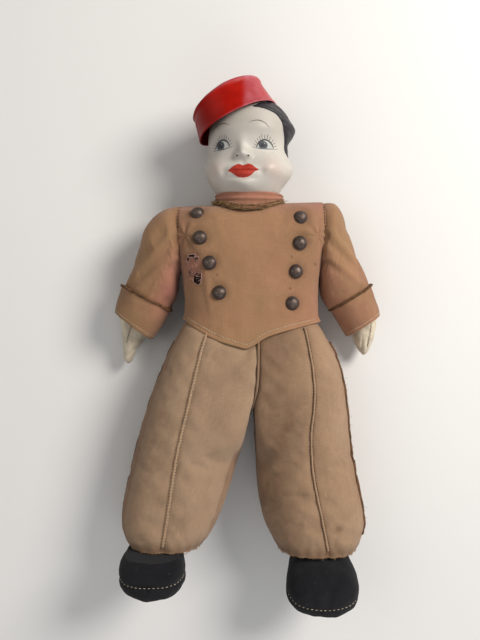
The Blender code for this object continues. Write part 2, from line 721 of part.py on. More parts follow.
def main():
    clear_scene()
    cloth = paint("tan_cotton", (0.42, 0.25, 0.13))
    trouser_cloth = paint("trouser_cotton", (0.44, 0.28, 0.17))
    under_cloth = paint("calico", (0.62, 0.52, 0.38))
    hand_cloth = paint("cream_cotton", (0.68, 0.58, 0.42))
    gold = paint("gold_braid", (0.30, 0.15, 0.05), 0.6, 0.3)
    thread = paint("brown_thread", (0.10, 0.05, 0.03))
    skin = paint("painted_composition", (0.72, 0.66, 0.58), 0.45)
    red = paint("red_enamel", (0.55, 0.03, 0.015), 0.25)
    brass = paint("aged_brass", (0.16, 0.12, 0.09), 0.4, 0.9)
    black = paint("black_felt", (0.03, 0.03, 0.035))
    tunic_front = make_torso(cloth, under_cloth, trouser_cloth)
    make_buttons(tunic_front, brass)
    make_neck(cloth, under_cloth, gold)
    make_head(skin, red)
    for side in (-1, 1):
        make_arm(side, cloth, hand_cloth, gold, thread)
    for word, rows, pleat, foot in (("right", RIGHT_LEG_ROWS, RIGHT_PLEAT, RIGHT_FOOT),
                                    ("left", LEFT_LEG_ROWS, LEFT_PLEAT, LEFT_FOOT)):
        leg = make_leg(word, rows, pleat, trouser_cloth, gold)
        make_foot(word, foot, leg, rows[-1][0], black)
    assemble()


main()
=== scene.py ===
"""Cloth page-boy doll: the fine surfaces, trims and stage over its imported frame."""

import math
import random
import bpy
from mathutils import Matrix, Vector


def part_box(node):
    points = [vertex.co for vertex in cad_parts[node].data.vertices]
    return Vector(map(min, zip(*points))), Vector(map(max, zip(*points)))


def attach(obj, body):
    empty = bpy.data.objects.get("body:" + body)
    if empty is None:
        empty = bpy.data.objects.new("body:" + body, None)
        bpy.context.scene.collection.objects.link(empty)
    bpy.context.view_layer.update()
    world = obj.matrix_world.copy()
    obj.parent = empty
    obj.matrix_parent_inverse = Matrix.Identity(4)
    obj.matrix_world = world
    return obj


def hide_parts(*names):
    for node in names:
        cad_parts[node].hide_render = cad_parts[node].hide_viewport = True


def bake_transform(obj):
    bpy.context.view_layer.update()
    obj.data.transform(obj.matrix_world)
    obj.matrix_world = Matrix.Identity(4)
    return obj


bl_info = {
    "name": "Cloth Page-Boy Doll",
    "version": (1, 0, 0),
    "blender": (4, 5, 0),
    "location": "View3D > Sidebar > Doll",
    "description": "Makes the clothes, head, hands and shoes of a stuffed page-boy doll over its packed frame",
    "category": "Object",
}

import bmesh
import bpy
import numpy as np
from mathutils import Matrix, Vector, noise
from mathutils.bvhtree import BVHTree

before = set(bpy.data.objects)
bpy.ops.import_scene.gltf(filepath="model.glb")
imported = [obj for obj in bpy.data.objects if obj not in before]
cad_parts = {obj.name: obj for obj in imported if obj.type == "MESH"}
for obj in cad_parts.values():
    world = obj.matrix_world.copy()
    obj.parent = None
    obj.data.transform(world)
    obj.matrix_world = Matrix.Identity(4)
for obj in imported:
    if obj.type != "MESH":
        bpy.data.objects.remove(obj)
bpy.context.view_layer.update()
MM = 0.001
WORDS = {-1: "right", 1: "left"}


# Smooth profiles and gathered meshes

class Profile:
    """Smooth values along a length, from rows of (place, value, ...)."""

    def __init__(self, rows):
        rows = sorted(rows)
        self.places = np.array([row[0] for row in rows], float)
        self.values = np.array([row[1:] for row in rows], float)
        self.slopes = np.gradient(self.values, self.places, axis=0)

    def __call__(self, place):
        place = min(max(place, self.places[0]), self.places[-1])
        i = min(int(np.searchsorted(self.places, place, "right")) - 1, len(self.places) - 2)
        span = self.places[i + 1] - self.places[i]
        t = (place - self.places[i]) / span
        made = ((2 * t**3 - 3 * t**2 + 1) * self.values[i] + (t**3 - 2 * t**2 + t) * span * self.slopes[i]
                + (3 * t**2 - 2 * t**3) * self.values[i + 1] + (t**3 - t**2) * span * self.slopes[i + 1])
        return made if len(made) > 1 else float(made[0])


class Gather:
    """Points and faces gathered into one object, with a map in metres along its cloth."""

    def __init__(self):
        self.points, self.faces, self.maps, self.slots = [], [], [], []

    def grid(self, rows, wrap=False, slot=0, caps=False, ring=False):
        """rows is an array of points, row by row; wrap joins each row's ends, ring the last row to the first."""
        rows = np.asarray(rows, float)
        count, width = rows.shape[:2]
        base = len(self.points)
        self.points.extend(map(tuple, rows.reshape(-1, 3)))
        middle = rows[count // 2]
        around = np.concatenate([[0], np.linalg.norm(np.roll(middle, -1, 0) - middle, axis=1).cumsum()])
        steps = np.linalg.norm(np.roll(rows, -1, 0) - rows, axis=2).mean(axis=1)
        along = np.concatenate([[0], steps.cumsum()])
        for i in range(count if ring else count - 1):
            next_row = base + (i + 1) % count * width
            for j in range(width if wrap else width - 1):
                k = (j + 1) % width
                self.faces.append((base + i * width + j, base + i * width + k, next_row + k, next_row + j))
                self.maps.append(((around[j], along[i]), (around[j + 1], along[i]),
                                  (around[j + 1], along[i + 1]), (around[j], along[i + 1])))
                self.slots.append(slot)
        if caps:
            for i in (0, count - 1):
                middle = len(self.points)
                self.points.append(tuple(rows[i].mean(axis=0)))
                for j in range(width):
                    corners = (base + i * width + j, base + i * width + (j + 1) % width, middle)
                    self.faces.append(corners if i else corners[::-1])
                    self.maps.append(((0, 0), (MM, 0), (0, MM)))
                    self.slots.append(slot)
        return self

    def tube(self, line, radius, sides=6, slot=0, closed=False, flat=1.0, up=None):
        """A round or flattened cord along a line of points; radius may be one number for each point."""
        line = np.asarray(line, float)
        count = len(line)
        ahead = np.roll(line, -1, 0) - np.roll(line, 1, 0)
        if not closed:
            ahead = np.gradient(line, axis=0)
        ahead /= np.linalg.norm(ahead, axis=1)[:, None] + 1e-12
        ups = np.tile((0.0, 0.0, 1.0), (count, 1)) if up is None else np.asarray(up, float)
        side = np.cross(ahead, ups)
        short = np.linalg.norm(side, axis=1) < 1e-3
        side[short] = np.cross(ahead[short], (1.0, 0.0, 0.0))
        side /= np.linalg.norm(side, axis=1)[:, None]
        lift = np.cross(side, ahead)
        radius = np.broadcast_to(np.asarray(radius, float), (count,))[:, None]
        turns = [2 * math.pi * k / sides for k in range(sides)]
        rows = np.stack([line + radius * (math.cos(a) * side + math.sin(a) * flat * lift) for a in turns], axis=1)
        if closed:
            rows = np.concatenate([rows, rows[:1]])
        return self.grid(rows, wrap=True, slot=slot, caps=not closed)

    def build(self, name, materials, tint=None):
        mesh = bpy.data.meshes.new(name)
        mesh.from_pydata(self.points, [], self.faces)
        layer = mesh.uv_layers.new(name="cloth")
        pairs = np.array([pair for face in self.maps for pair in face], np.float32)
        layer.data.foreach_set("uv", pairs.ravel())
        for material in materials if isinstance(materials, (list, tuple)) else [materials]:
            mesh.materials.append(material)
        mesh.polygons.foreach_set("material_index", self.slots)
        mesh.shade_smooth()
        if tint is not None:
            colours = mesh.attributes.new("tint", "FLOAT_COLOR", "POINT")
            values = [(*tint(Vector(p)), 1.0) for p in self.points]
            colours.data.foreach_set("color", np.array(values, np.float32).ravel())
        mesh.validate()
        obj = bpy.data.objects.new(name, mesh)
        bpy.context.scene.collection.objects.link(obj)
        return obj


def facing_out(rows, wrap=True):
    """Normals of a grid of points, turned away from its middle line."""
    ahead = np.gradient(rows, axis=0)
    aside = np.roll(rows, -1, 1) - np.roll(rows, 1, 1) if wrap else np.gradient(rows, axis=1)
    normals = np.cross(aside, ahead)
    normals /= np.linalg.norm(normals, axis=2)[:, :, None] + 1e-12
    out = rows - rows.mean(axis=1, keepdims=True)
    return normals * (1 if (normals * out).sum() > 0 else -1)


def fuzz(point, size, seed=0.0):
    """Smooth noise from -1 to 1 with lumps of about that size."""
    return noise.noise(Vector(point) / size + Vector((seed, seed * 1.7, -seed)))


def lumps(rows, size, height, seed=0.0):
    """A field of noise over a grid of points."""
    return np.array([fuzz(p, size, seed) for p in rows.reshape(-1, 3)]).reshape(rows.shape[:2]) * height


def superellipse(angle, power):
    c, s = math.cos(angle), math.sin(angle)
    return math.copysign(abs(c) ** (2 / power), c), math.copysign(abs(s) ** (2 / power), s)


def surface_of(*objects):
    """A tree for finding points on the surfaces of finished pieces."""
    points, faces = [], []
    for obj in objects:
        base = len(points)
        points += [obj.matrix_world @ v.co for v in obj.data.vertices]
        faces += [tuple(base + k for k in polygon.vertices) for polygon in obj.data.polygons]
    return BVHTree.FromPolygons(points, faces)


def drop_on(tree, x, y, lift=0.0):
    """The point of a surface under x, y, and its normal."""
    place, normal, _, _ = tree.ray_cast(Vector((x, y, 0.2)), Vector((0, 0, -1)))
    if place is None:
        place, normal, _, _ = tree.find_nearest(Vector((x, y, 0.04)))
    normal = normal if normal.z >= 0 else -normal
    return place + normal * lift, normal


def near_on(tree, point, lift=0.0, out=None):
    place, normal, _, _ = tree.find_nearest(Vector(point))
    if out is not None and normal.dot(out) < 0:
        normal = -normal
    return place + normal * lift, normal


def spaced(points, step):
    """Points every step along a line through the given points, smoothed."""
    points = [Vector(p) for p in points]
    lengths = [0.0]
    for a, b in zip(points, points[1:]):
        lengths.append(lengths[-1] + (b - a).length)
    route = Profile([(length, *p) for length, p in zip(lengths, points)])
    count = max(int(round(lengths[-1] / step)), 2)
    return [Vector(route(lengths[-1] * i / count)) for i in range(count + 1)]


# Along a stitch: place, rise and thickness, the last two as shares of the thread's radius
STITCH = ((-1.0, -1.4, 0.6), (-0.7, 0.3, 0.95), (0.0, 0.7, 1.0), (0.7, 0.3, 0.95), (1.0, -1.4, 0.6))


def stitches(gather, points, normals, length, radius, rng):
    """Short raised threads along a line of surface points spaced one stitch apart."""
    for a, b, normal in zip(points, points[1:], normals):
        half = (b - a).normalized() * length * (0.5 + 0.06 * rng.random())
        aside = normal.cross(half).normalized() * radius * rng.uniform(-0.5, 0.5)
        line = [a + (b - a) * 0.5 + half * t + aside + normal * radius * rise for t, rise, _ in STITCH]
        gather.tube(line, [radius * thick for _, _, thick in STITCH], 5, up=[normal] * len(STITCH))


def twisted(gather, line, ups, strand, pitch, slot=0, spread=0.62, rng=None):
    """Closed cord laid from two strands that wind round each other."""
    line = np.array([tuple(p) for p in line], float)
    ups = np.array([tuple(u) for u in ups], float)
    steps = np.linalg.norm(np.diff(line, axis=0), axis=1)
    turns = round((steps.cumsum()[-1] + steps[0]) / pitch)
    angle = 2 * math.pi * turns * np.arange(len(line)) / len(line)
    ahead = np.roll(line, -1, 0) - np.roll(line, 1, 0)
    ahead /= np.linalg.norm(ahead, axis=1)[:, None] + 1e-12
    side = np.cross(ahead, ups)
    side /= np.linalg.norm(side, axis=1)[:, None] + 1e-12
    for start in (0.0, math.pi):
        turn = (angle + start)[:, None]
        offset = strand * spread * 1.6 * (np.cos(turn) * side + np.sin(turn) * ups)
        wobble = 1 + (0.12 * np.array([rng.uniform(-1, 1) for _ in line]) if rng else 0)
        gather.tube(line + offset, strand * wobble, 6, slot, True, up=ups)


def plaited(gather, line, ups, width, strand, pitch, rng):
    """A flat three-strand plait along a line."""
    line = np.array([tuple(p) for p in line], float)
    ups = np.array([tuple(u) for u in ups], float)
    along = np.concatenate([[0], np.linalg.norm(np.diff(line, axis=0), axis=1).cumsum()])
    ahead = np.gradient(line, axis=0)
    side = np.cross(ahead, ups)
    side /= np.linalg.norm(side, axis=1)[:, None] + 1e-12
    for k in range(3):
        turn = 2 * math.pi * (along / pitch + k / 3)
        ragged = np.array([1 + rng.uniform(-0.12, 0.12) for _ in line])
        offset = (width / 2 - strand) * (np.sin(turn) * ragged)[:, None] * side
        offset = offset + 0.6 * strand * np.cos(2 * turn)[:, None] * ups
        gather.tube(line + offset, strand, 6, 0, up=ups, flat=0.7)


def wisps(gather, places, length, radius, rng, slot=0):
    """Loose curling thread ends that start at (point, direction) places."""
    for start, ahead in places:
        reach = length * rng.uniform(0.4, 1.2)
        bend = Vector((rng.uniform(-1, 1), rng.uniform(-1, 1), rng.uniform(-0.4, 0.9)))
        line = [start + ahead * reach * t + bend * reach * 0.6 * t * t for t in (0, 0.3, 0.6, 0.85, 1)]
        gather.tube(line, [radius, radius, radius * 0.9, radius * 0.7, radius * 0.4], 4, slot)


def stuffed(rows, held, pressure=4.0, spare=0.02, cap=0.0025, frames=20):
    """Fills a shell of cloth by a short simulation, and gives its points as they come to lie.

    held marks the points that a seam holds still; spare is how much longer the cloth is than its shape.
    """
    coarse, still = rows[::2, ::2], held[::2, ::2].ravel()
    trial = Gather().grid(coarse, wrap=True).build("stuffing_trial", [])
    group = trial.vertex_groups.new(name="held")
    group.add([int(k) for k in np.flatnonzero(still)], 1.0, "REPLACE")
    cloth = trial.modifiers.new("cloth", "CLOTH")
    cloth.settings.quality = 5
    cloth.settings.mass = 0.002
    cloth.settings.tension_stiffness = cloth.settings.compression_stiffness = 12
    cloth.settings.shear_stiffness = 4
    cloth.settings.bending_stiffness = 0.02
    cloth.settings.use_pressure = True
    cloth.settings.uniform_pressure_force = pressure
    cloth.settings.shrink_min = -spare
    cloth.settings.vertex_group_mass = "held"
    cloth.settings.effector_weights.gravity = 0
    cloth.collision_settings.use_collision = False
    cloth.point_cache.frame_end = frames
    for frame_number in range(1, frames + 1):
        bpy.context.scene.frame_set(frame_number)
    settled = trial.evaluated_get(bpy.context.evaluated_depsgraph_get())
    places = np.empty(len(trial.data.vertices) * 3)
    settled.data.vertices.foreach_get("co", places)
    bpy.context.scene.frame_set(1)
    bpy.data.objects.remove(trial)
    push = places.reshape(coarse.shape) - coarse
    size = np.linalg.norm(push, axis=2, keepdims=True)
    push = push * np.minimum(1, cap / np.maximum(size, 1e-9))
    push = np.concatenate([push, push[:, :1]], axis=1)
    count, width = rows.shape[:2]
    at_rows, at_columns = np.arange(0, count, 2), np.arange(0, push.shape[1]) * 2
    wide = np.stack([[np.interp(np.arange(width), at_columns, line[:, k]) for line in push]
                     for k in range(3)], 2)
    tall = np.stack([[np.interp(np.arange(count), at_rows, wide[:, j, k]) for j in range(width)]
                     for k in range(3)], 2)
    return rows + tall.transpose(1, 0, 2)


# Materials

class Finish:
    """A material and short ways to add its nodes."""

    def __init__(self, name, roughness=0.9, metallic=0.0):
        self.material = bpy.data.materials.new(name)
        self.material.use_nodes = True
        self.tree = self.material.node_tree
        self.shader = self.tree.nodes["Principled BSDF"]
        self.shader.inputs["Roughness"].default_value = roughness
        self.shader.inputs["Metallic"].default_value = metallic

    def node(self, kind, inputs=(), **settings):
        made = self.tree.nodes.new("ShaderNode" + kind)
        for key, value in settings.items():
            setattr(made, key, value)
        for key, value in dict(inputs).items():
            self.feed(made.inputs[key], value)
        return made

    def feed(self, socket, value):
        if isinstance(value, bpy.types.NodeSocket):
            self.tree.links.new(value, socket)
        elif isinstance(value, (tuple, list)) and len(value) == 3 and socket.type == "RGBA":
            socket.default_value = (*value, 1)
        else:
            socket.default_value = value

    def mix(self, factor, a, b, blend="MIX"):
        made = self.node("Mix", data_type="RGBA", blend_type=blend, clamp_factor=True)
        for key, value in ((0, factor), (6, a), (7, b)):
            self.feed(made.inputs[key], value)
        return made.outputs[2]

    def sum(self, operation, a, b=0.0, clamp=False):
        made = self.node("Math", {0: a, 1: b}, operation=operation, use_clamp=clamp)
        return made.outputs[0]

    def remap(self, value, low, high, to_low=0.0, to_high=1.0):
        keys = {0: value, 1: low, 2: high, 3: to_low, 4: to_high}
        return self.node("MapRange", keys).outputs[0]

    def place(self, scale=(1, 1, 1), weave=False):
        """Coordinates in metres, of the whole doll or along the cloth, stretched by scale."""
        source = self.node("UVMap", uv_map="cloth").outputs[0] if weave else self.node("TexCoord").outputs["Object"]
        return self.node("Mapping", {"Vector": source, "Scale": scale}).outputs[0]

    def noise(self, scale, detail=3.0, rough=0.5, vector=None):
        keys = {"Vector": vector or self.place(), "Scale": scale, "Detail": detail, "Roughness": rough}
        return self.node("TexNoise", keys).outputs["Fac"]

    def bump(self, height, distance, strength=1.0, after=None):
        keys = {"Height": height, "Distance": distance, "Strength": strength}
        if after is not None:
            keys["Normal"] = after
        return self.node("Bump", keys).outputs[0]

    def tint(self):
        """The three painted amounts of a piece: fading; dirt with painted shade; rubbing with painted highlight and
        sheen.
        """
        source = self.node("Attribute", attribute_name="tint").outputs["Color"]
        return self.node("SeparateColor", {0: source}).outputs

    def finish(self, colour=None, roughness=None, normal=None, **values):
        for key, value in (("Base Color", colour), ("Roughness", roughness), ("Normal", normal)):
            if value is not None:
                self.feed(self.shader.inputs[key], value)
        for key, value in values.items():
            self.feed(self.shader.inputs[key.replace("_", " ")], value)
        return self.material


def shaded(colour, amount):
    return tuple(max(min(c * amount, 1), 0) for c in colour)


def cotton(name, colour, faded, soil, threads, slub=0.14):
    """Plain-weave cotton: threads each way, slubs, blotches, fading, dirt with painted shade, and rubbed edges with
    painted highlight.
    """
    made = Finish(name)
    pitch = 2 * math.pi / threads
    across = made.node("SeparateXYZ", {0: made.place((pitch,) * 3, weave=True)}).outputs
    warp, weft = made.sum("SINE", across[0]), made.sum("SINE", across[1])
    weave = made.sum("MULTIPLY", warp, weft)
    slub_a = made.noise(1.0, 2, 0.6, made.place((2600, 190, 1), weave=True))
    slub_b = made.noise(1.0, 2, 0.6, made.place((190, 2600, 1), weave=True))
    slubs = made.sum("ADD", made.sum("MULTIPLY", slub_a, 0.5), made.sum("MULTIPLY", slub_b, 0.5))
    grain = made.noise(1500, 2, 0.6)
    blotch = made.noise(34, 4, 0.6)
    cloud = made.noise(11, 2, 0.5)
    amounts = made.tint()
    base = made.mix(made.remap(blotch, 0.3, 0.7), shaded(colour, 0.9), shaded(colour, 1.1))
    base = made.mix(made.remap(cloud, 0.4, 0.75, 0, 0.45), base, tuple(faded))
    base = made.mix(amounts[0], base, tuple(faded))
    streaks = made.noise(1.0, 3, 0.6, made.place((620, 22, 1), weave=True))
    tone = made.sum("MULTIPLY", made.remap(slubs, 0.32, 0.68, 1 - slub, 1 + slub),
                    made.remap(streaks, 0.3, 0.7, 0.965, 1.035))
    tone = made.sum("MULTIPLY", tone, made.remap(grain, 0.25, 0.75, 0.93, 1.07))
    tone = made.sum("MULTIPLY", tone, made.remap(weave, -1, 1, 0.93, 1.05))
    grey = made.node("CombineColor", {0: tone, 1: tone, 2: tone}).outputs[0]
    base = made.mix(1.0, base, grey, "MULTIPLY")
    # The second tint amount darkens the cloth: real dirt and painted shade in folds, underneath and between parts.
    stain_and_shade = made.sum("MULTIPLY", amounts[1], made.remap(made.noise(120, 3, 0.6), 0.25, 0.6, 0.6, 1))
    base = made.mix(stain_and_shade, base, tuple(soil))
    # The third tint amount lightens the cloth: rubbed edges and painted highlight on tops and crests.
    base = made.mix(made.sum("MULTIPLY", amounts[2], 0.5), base, shaded(colour, 1.75))
    height = made.sum("ADD", made.sum("MULTIPLY", weave, 0.5), made.sum("MULTIPLY", slubs, 1.6))
    normal = made.bump(height, 0.00011, 0.8)
    normal = made.bump(made.noise(420, 3, 0.6), 0.00022, 0.6, normal)
    rough = made.remap(blotch, 0.3, 0.7, 0.84, 0.95)
    return made.finish(base, rough, normal, Specular_IOR_Level=0.18, Sheen_Weight=0.12, Sheen_Roughness=0.5)


def felt(name, colour, dust):
    """Napped black cotton with lint."""
    made = Finish(name)
    nap = made.noise(2600, 3, 0.7)
    rub = made.noise(70, 3, 0.6)
    base = made.mix(made.remap(rub, 0.35, 0.75, 0.0, 0.5), tuple(colour), shaded(colour, 2.2))
    base = made.mix(made.remap(nap, 0.35, 0.7), shaded(colour, 0.6), base)
    lint = made.remap(made.noise(620, 2, 0.5), 0.68, 0.74)
    base = made.mix(made.sum("MULTIPLY", lint, 0.1), base, tuple(dust))
    weave = made.node("SeparateXYZ", {0: made.place((2 * math.pi / 0.0007,) * 3, weave=True)}).outputs
    cross = made.sum("MULTIPLY", made.sum("SINE", weave[0]), made.sum("SINE", weave[1]))
    normal = made.bump(cross, 0.00008, 0.6)
    normal = made.bump(made.noise(900, 4, 0.7), 0.0003, 0.7, normal)
    return made.finish(base, 0.96, normal, Specular_IOR_Level=0.12, Sheen_Weight=0.06, Sheen_Roughness=0.6)


def thread(name, colour, bright, metallic=0.0, roughness=0.7):
    """Spun thread or tarnished metal thread."""
    made = Finish(name, roughness, metallic)
    ply = made.noise(1.0, 2, 0.5, made.place((5200, 900, 1), weave=True))
    tarnish = made.noise(260, 3, 0.6)
    base = made.mix(made.remap(ply, 0.3, 0.7), tuple(colour), tuple(bright))
    base = made.mix(made.remap(tarnish, 0.45, 0.7, 0, 0.8), base, shaded(colour, 0.5))
    normal = made.bump(ply, 0.0001, 0.8)
    return made.finish(base, None, normal, Specular_IOR_Level=0.3)


def face_paint(name, colour, grime_and_shade, blush):
    """Chalky white paint over composition, with fine crazing, dirt, painted shade and rouge."""
    made = Finish(name, 0.42)
    amounts = made.tint()
    cloud = made.noise(45, 4, 0.6)
    base = made.mix(made.remap(cloud, 0.35, 0.7), shaded(colour, 0.93), tuple(colour))
    base = made.mix(made.sum("MULTIPLY", amounts[0], 0.55), base, tuple(blush))
    specks = made.node("TexVoronoi", {"Vector": made.place(), "Scale": 210.0}, feature="F1").outputs["Distance"]
    chosen = made.remap(made.noise(60, 2, 0.5), 0.6, 0.68)
    spot = made.sum("MULTIPLY", made.remap(specks, 0.06, 0.1, 1, 0), chosen)
    base = made.mix(made.sum("MULTIPLY", spot, 0.6), base, tuple(grime_and_shade))
    crack = made.node("TexVoronoi", {"Vector": made.place(), "Scale": 120.0}, feature="DISTANCE_TO_EDGE")
    line = made.sum("MULTIPLY", made.remap(crack.outputs[0], 0.004, 0.02, 1, 0),
                    made.remap(made.noise(30, 2, 0.5), 0.58, 0.72))
    base = made.mix(made.sum("MULTIPLY", line, 0.35), base, shaded(grime_and_shade, 1.5))
    # The second tint amount darkens the paint: painted shade.
    base = made.mix(made.sum("MULTIPLY", amounts[1], 0.8), base, tuple(grime_and_shade))
    normal = made.bump(made.noise(260, 3, 0.5), 0.00012, 0.5)
    normal = made.bump(line, -0.00006, 0.6, normal)
    rough = made.remap(cloud, 0.3, 0.7, 0.36, 0.55)
    return made.finish(base, rough, normal, Specular_IOR_Level=0.4)


def enamel(name, colour, worn_and_sheen, roughness=0.25, scale=80.0, wear_and_highlight=0.5, shine=0.3):
    """Glossy paint with dulled patches, rubbed places with painted sheen, and dirt with painted shade."""
    made = Finish(name)
    amounts = made.tint()
    cloud = made.noise(scale, 4, 0.65)
    base = made.mix(made.remap(cloud, 0.35, 0.7), shaded(colour, 0.72), tuple(colour))
    # The third tint amount mixes in the second colour: rubbed paint and painted sheen.
    rub = made.sum("MULTIPLY", amounts[2], made.remap(made.noise(130, 3, 0.6), 0.28, 0.72, 0.35, 1))
    base = made.mix(made.sum("MULTIPLY", rub, wear_and_highlight), base, tuple(worn_and_sheen))
    # The second tint amount darkens the paint: dirt and painted shade.
    base = made.mix(amounts[1], base, shaded(colour, 0.35))
    normal = made.bump(made.noise(150, 4, 0.55), 0.0004, 0.5)
    normal = made.bump(rub, -0.00015, 0.6, normal)
    rough = made.remap(made.noise(55, 4, 0.6), 0.3, 0.7, roughness * 0.7, roughness * 1.6)
    return made.finish(base, rough, normal, Specular_IOR_Level=shine)


def old_brass(name, colour, bright):
    made = Finish(name, 0.45, 0.7)
    amounts = made.tint()
    tarnish = made.noise(420, 3, 0.55)
    base = made.mix(made.remap(tarnish, 0.35, 0.7), shaded(colour, 0.78), tuple(colour))
    # The third tint amount mixes in the bright colour: a painted highlight.
    shine = made.sum("MULTIPLY", amounts[2], made.remap(made.noise(700, 3, 0.6), 0.4, 0.7))
    base = made.mix(shine, base, tuple(bright))
    rough = made.remap(tarnish, 0.3, 0.7, 0.40, 0.58)
    normal = made.bump(made.noise(650, 3, 0.6), 0.00006, 0.5)
    return made.finish(base, rough, normal)


def plain_paint(name, colour, other):
    """Brushed-on paint for a small painted feature."""
    made = Finish(name, 0.55)
    base = made.mix(made.remap(made.noise(500.0, 3, 0.6), 0.35, 0.68), tuple(colour), tuple(other))
    normal = made.bump(made.noise(900, 2, 0.5), 0.00004, 0.5)
    return made.finish(base, None, normal, Specular_IOR_Level=0.25)


def pale_floor(name, colour):
    made = Finish(name, 0.9)
    cloud = made.noise(2.2, 2, 0.5)
    base = made.mix(made.remap(cloud, 0.3, 0.7), shaded(colour, 0.97), tuple(colour))
    normal = made.bump(made.noise(700, 2, 0.5), 0.00008, 0.3)
    return made.finish(base, None, normal, Specular_IOR_Level=0.2)


def look(name, make, *values, **more):
    """A material by name, made the first time that it is asked for."""
    return bpy.data.materials.get(name) or make(name, *values, **more)


# What a user can change

def colour_prop(name, description, default):
    return bpy.props.FloatVectorProperty(name=name, description=description, default=default, subtype="COLOR",
                                         size=3, min=0, max=1)


def length_prop(name, description, default):
    return bpy.props.FloatProperty(name=name, description=description, default=default, unit="LENGTH", min=0,
                                   precision=4)


class DollCloth(bpy.types.PropertyGroup):
    """Colours and sizes of the cloth, thread and trim."""

    tunic: colour_prop("Tunic", "Tan cotton of the tunic and sleeves", (0.292, 0.166, 0.084))
    trousers: colour_prop("Trousers", "Tan cotton of the trousers", (0.288, 0.168, 0.094))
    faded: colour_prop("Faded", "Pink that the cotton has faded to", (0.395, 0.160, 0.115))
    pale: colour_prop("Pale", "Lighter tan where the cloth is rubbed", (0.425, 0.300, 0.198))
    # This dark colour is dirt and also painted shade in folds, underneath and between parts.
    soil: colour_prop("Soil", "Old stains and dust in the folds", (0.105, 0.052, 0.026))
    cream: colour_prop("Cream", "Cotton of the hands and sewing thread", (0.680, 0.590, 0.450))
    gold: colour_prop("Gold", "Tarnished metal thread", (0.062, 0.030, 0.013))
    black: colour_prop("Black", "Felt of the shoes", (0.0115, 0.0112, 0.0135))
    weave: length_prop("Weave", "Width of one pair of threads", 0.00055)
    stitch: length_prop("Stitch", "Length of one sewn stitch", 0.0016)
    thickness: length_prop("Thickness", "Thickness of the tunic's cloth", 0.0011)


class DollHead(bpy.types.PropertyGroup):
    """Colours and turn of the moulded head and its hat."""

    skin: colour_prop("Face", "White face paint", (0.540, 0.505, 0.450))
    blush: colour_prop("Rouge", "Rouge on the cheeks", (0.560, 0.300, 0.240))
    lips: colour_prop("Lips", "Red lip paint", (0.440, 0.036, 0.020))
    hair: colour_prop("Hair", "Black hair paint", (0.022, 0.019, 0.023))
    hat: colour_prop("Hat", "Red enamel of the hat", (0.420, 0.007, 0.002))
    iris: colour_prop("Iris", "Grey of the irises", (0.072, 0.083, 0.096))
    turn: bpy.props.FloatProperty(name="Turn", description="How far the face looks to the doll's right",
                                  default=math.radians(8), subtype="ANGLE")
    tilt: bpy.props.FloatProperty(name="Tilt", description="Lean of the head to the doll's left",
                                  default=math.radians(1), subtype="ANGLE")


class DollStage(bpy.types.PropertyGroup):
    """Camera, floor and light."""

    height: length_prop("Camera height", "Camera above the floor", 0.5036)
    aim_x: bpy.props.FloatProperty(name="Aim across", description="Where the camera looks, across the doll",
                                   default=-0.00814, unit="LENGTH")
    aim_y: bpy.props.FloatProperty(name="Aim along", description="Where the camera looks, along the doll",
                                   default=-0.0296, unit="LENGTH")
    lens: bpy.props.FloatProperty(name="Lens", description="Focal length in millimetres", default=36.0, min=5)
    floor: colour_prop("Floor", "Pale floor", (0.78, 0.77, 0.75))
    light: bpy.props.FloatProperty(name="Light", description="Strength of all the lamps", default=1.0, min=0)


def cloth_finish(kind="tunic"):
    """The finish of one kind of cloth, felt, braid or thread, by its short name."""
    p = bpy.context.scene.doll_cloth
    return look(*{
        "tunic": ("faded_tan_cotton", cotton, p.tunic, p.faded, p.soil, p.weave),
        "trousers": ("rubbed_tan_cotton", cotton, p.trousers, p.pale, p.soil, p.weave),
        "cream": ("soiled_cream_cotton", cotton, p.cream, shaded(p.cream, 1.2), p.soil, p.weave * 0.8, 0.07),
        "black": ("shoe_felt", felt, p.black, (0.30, 0.28, 0.26)),
        "gold": ("tarnished_braid", thread, p.gold, shaded(p.gold, 4.0), 0.25, 0.5),
        "bright": ("light_gold_thread", thread, (0.30, 0.18, 0.07), (0.55, 0.40, 0.20), 0.2, 0.5),
        "cream_thread": ("cream_thread", thread, (0.50, 0.40, 0.27), (0.72, 0.62, 0.46)),
        "pink_thread": ("frayed_pink_thread", thread, (0.42, 0.20, 0.15), (0.66, 0.42, 0.34)),
        "dark_thread": ("dark_thread", thread, (0.035, 0.022, 0.016), (0.10, 0.06, 0.04)),
        "tan_thread": ("tan_thread", thread, (0.33, 0.19, 0.10), (0.50, 0.33, 0.20)),
    }[kind])


class DollStep:
    """Shared by every operator of the doll."""

    bl_options = {"REGISTER", "UNDO"}

    def execute(self, context):
        self.make(context)
        return {"FINISHED"}


# Tunic

BODY = Profile([(-55, 59.0, 28.6), (-46, 58.0, 28.6), (-38, 54.5, 28.8), (-30, 50.0, 28.9), (-20, 48.9, 28.7),
                (-8, 49.4, 28.8), (8, 51.4, 29.1), (22, 54.4, 29.1), (34, 56.6, 28.0), (42, 57.2, 25.6),
                (48, 57.0, 22.0), (52, 56.0, 16.5), (54.6, 54.5, 9.0), (56.0, 52.6, 2.0)])
BODY_POWER = Profile([(-55, 2.5), (-30, 2.5), (0, 2.7), (25, 3.2), (48, 3.3), (56, 2.6)])
HEM = Profile([(-53, -27.0), (-48, -29.5), (-35, -36.8), (-21, -43.8), (-8, -48.2), (-3.3, -49.4), (0, -48.0),
               (8, -42.2), (16, -39.0), (25, -36.4), (38, -33.3), (53, -30.0)])
MIDDLE_Z = 28.6
HOLES = [((-38.1, -0.1), (3.0, 4.1), 13.0), ((-44.9, 13.0), (1.6, 2.1), 3.0), ((-41.9, 15.6), (3.0, 1.4), 7.0),
         ((-38.6, 13.8), (1.7, 1.5), 9.0), ((-43.6, 4.0), (1.0, 1.7), 1.0)]
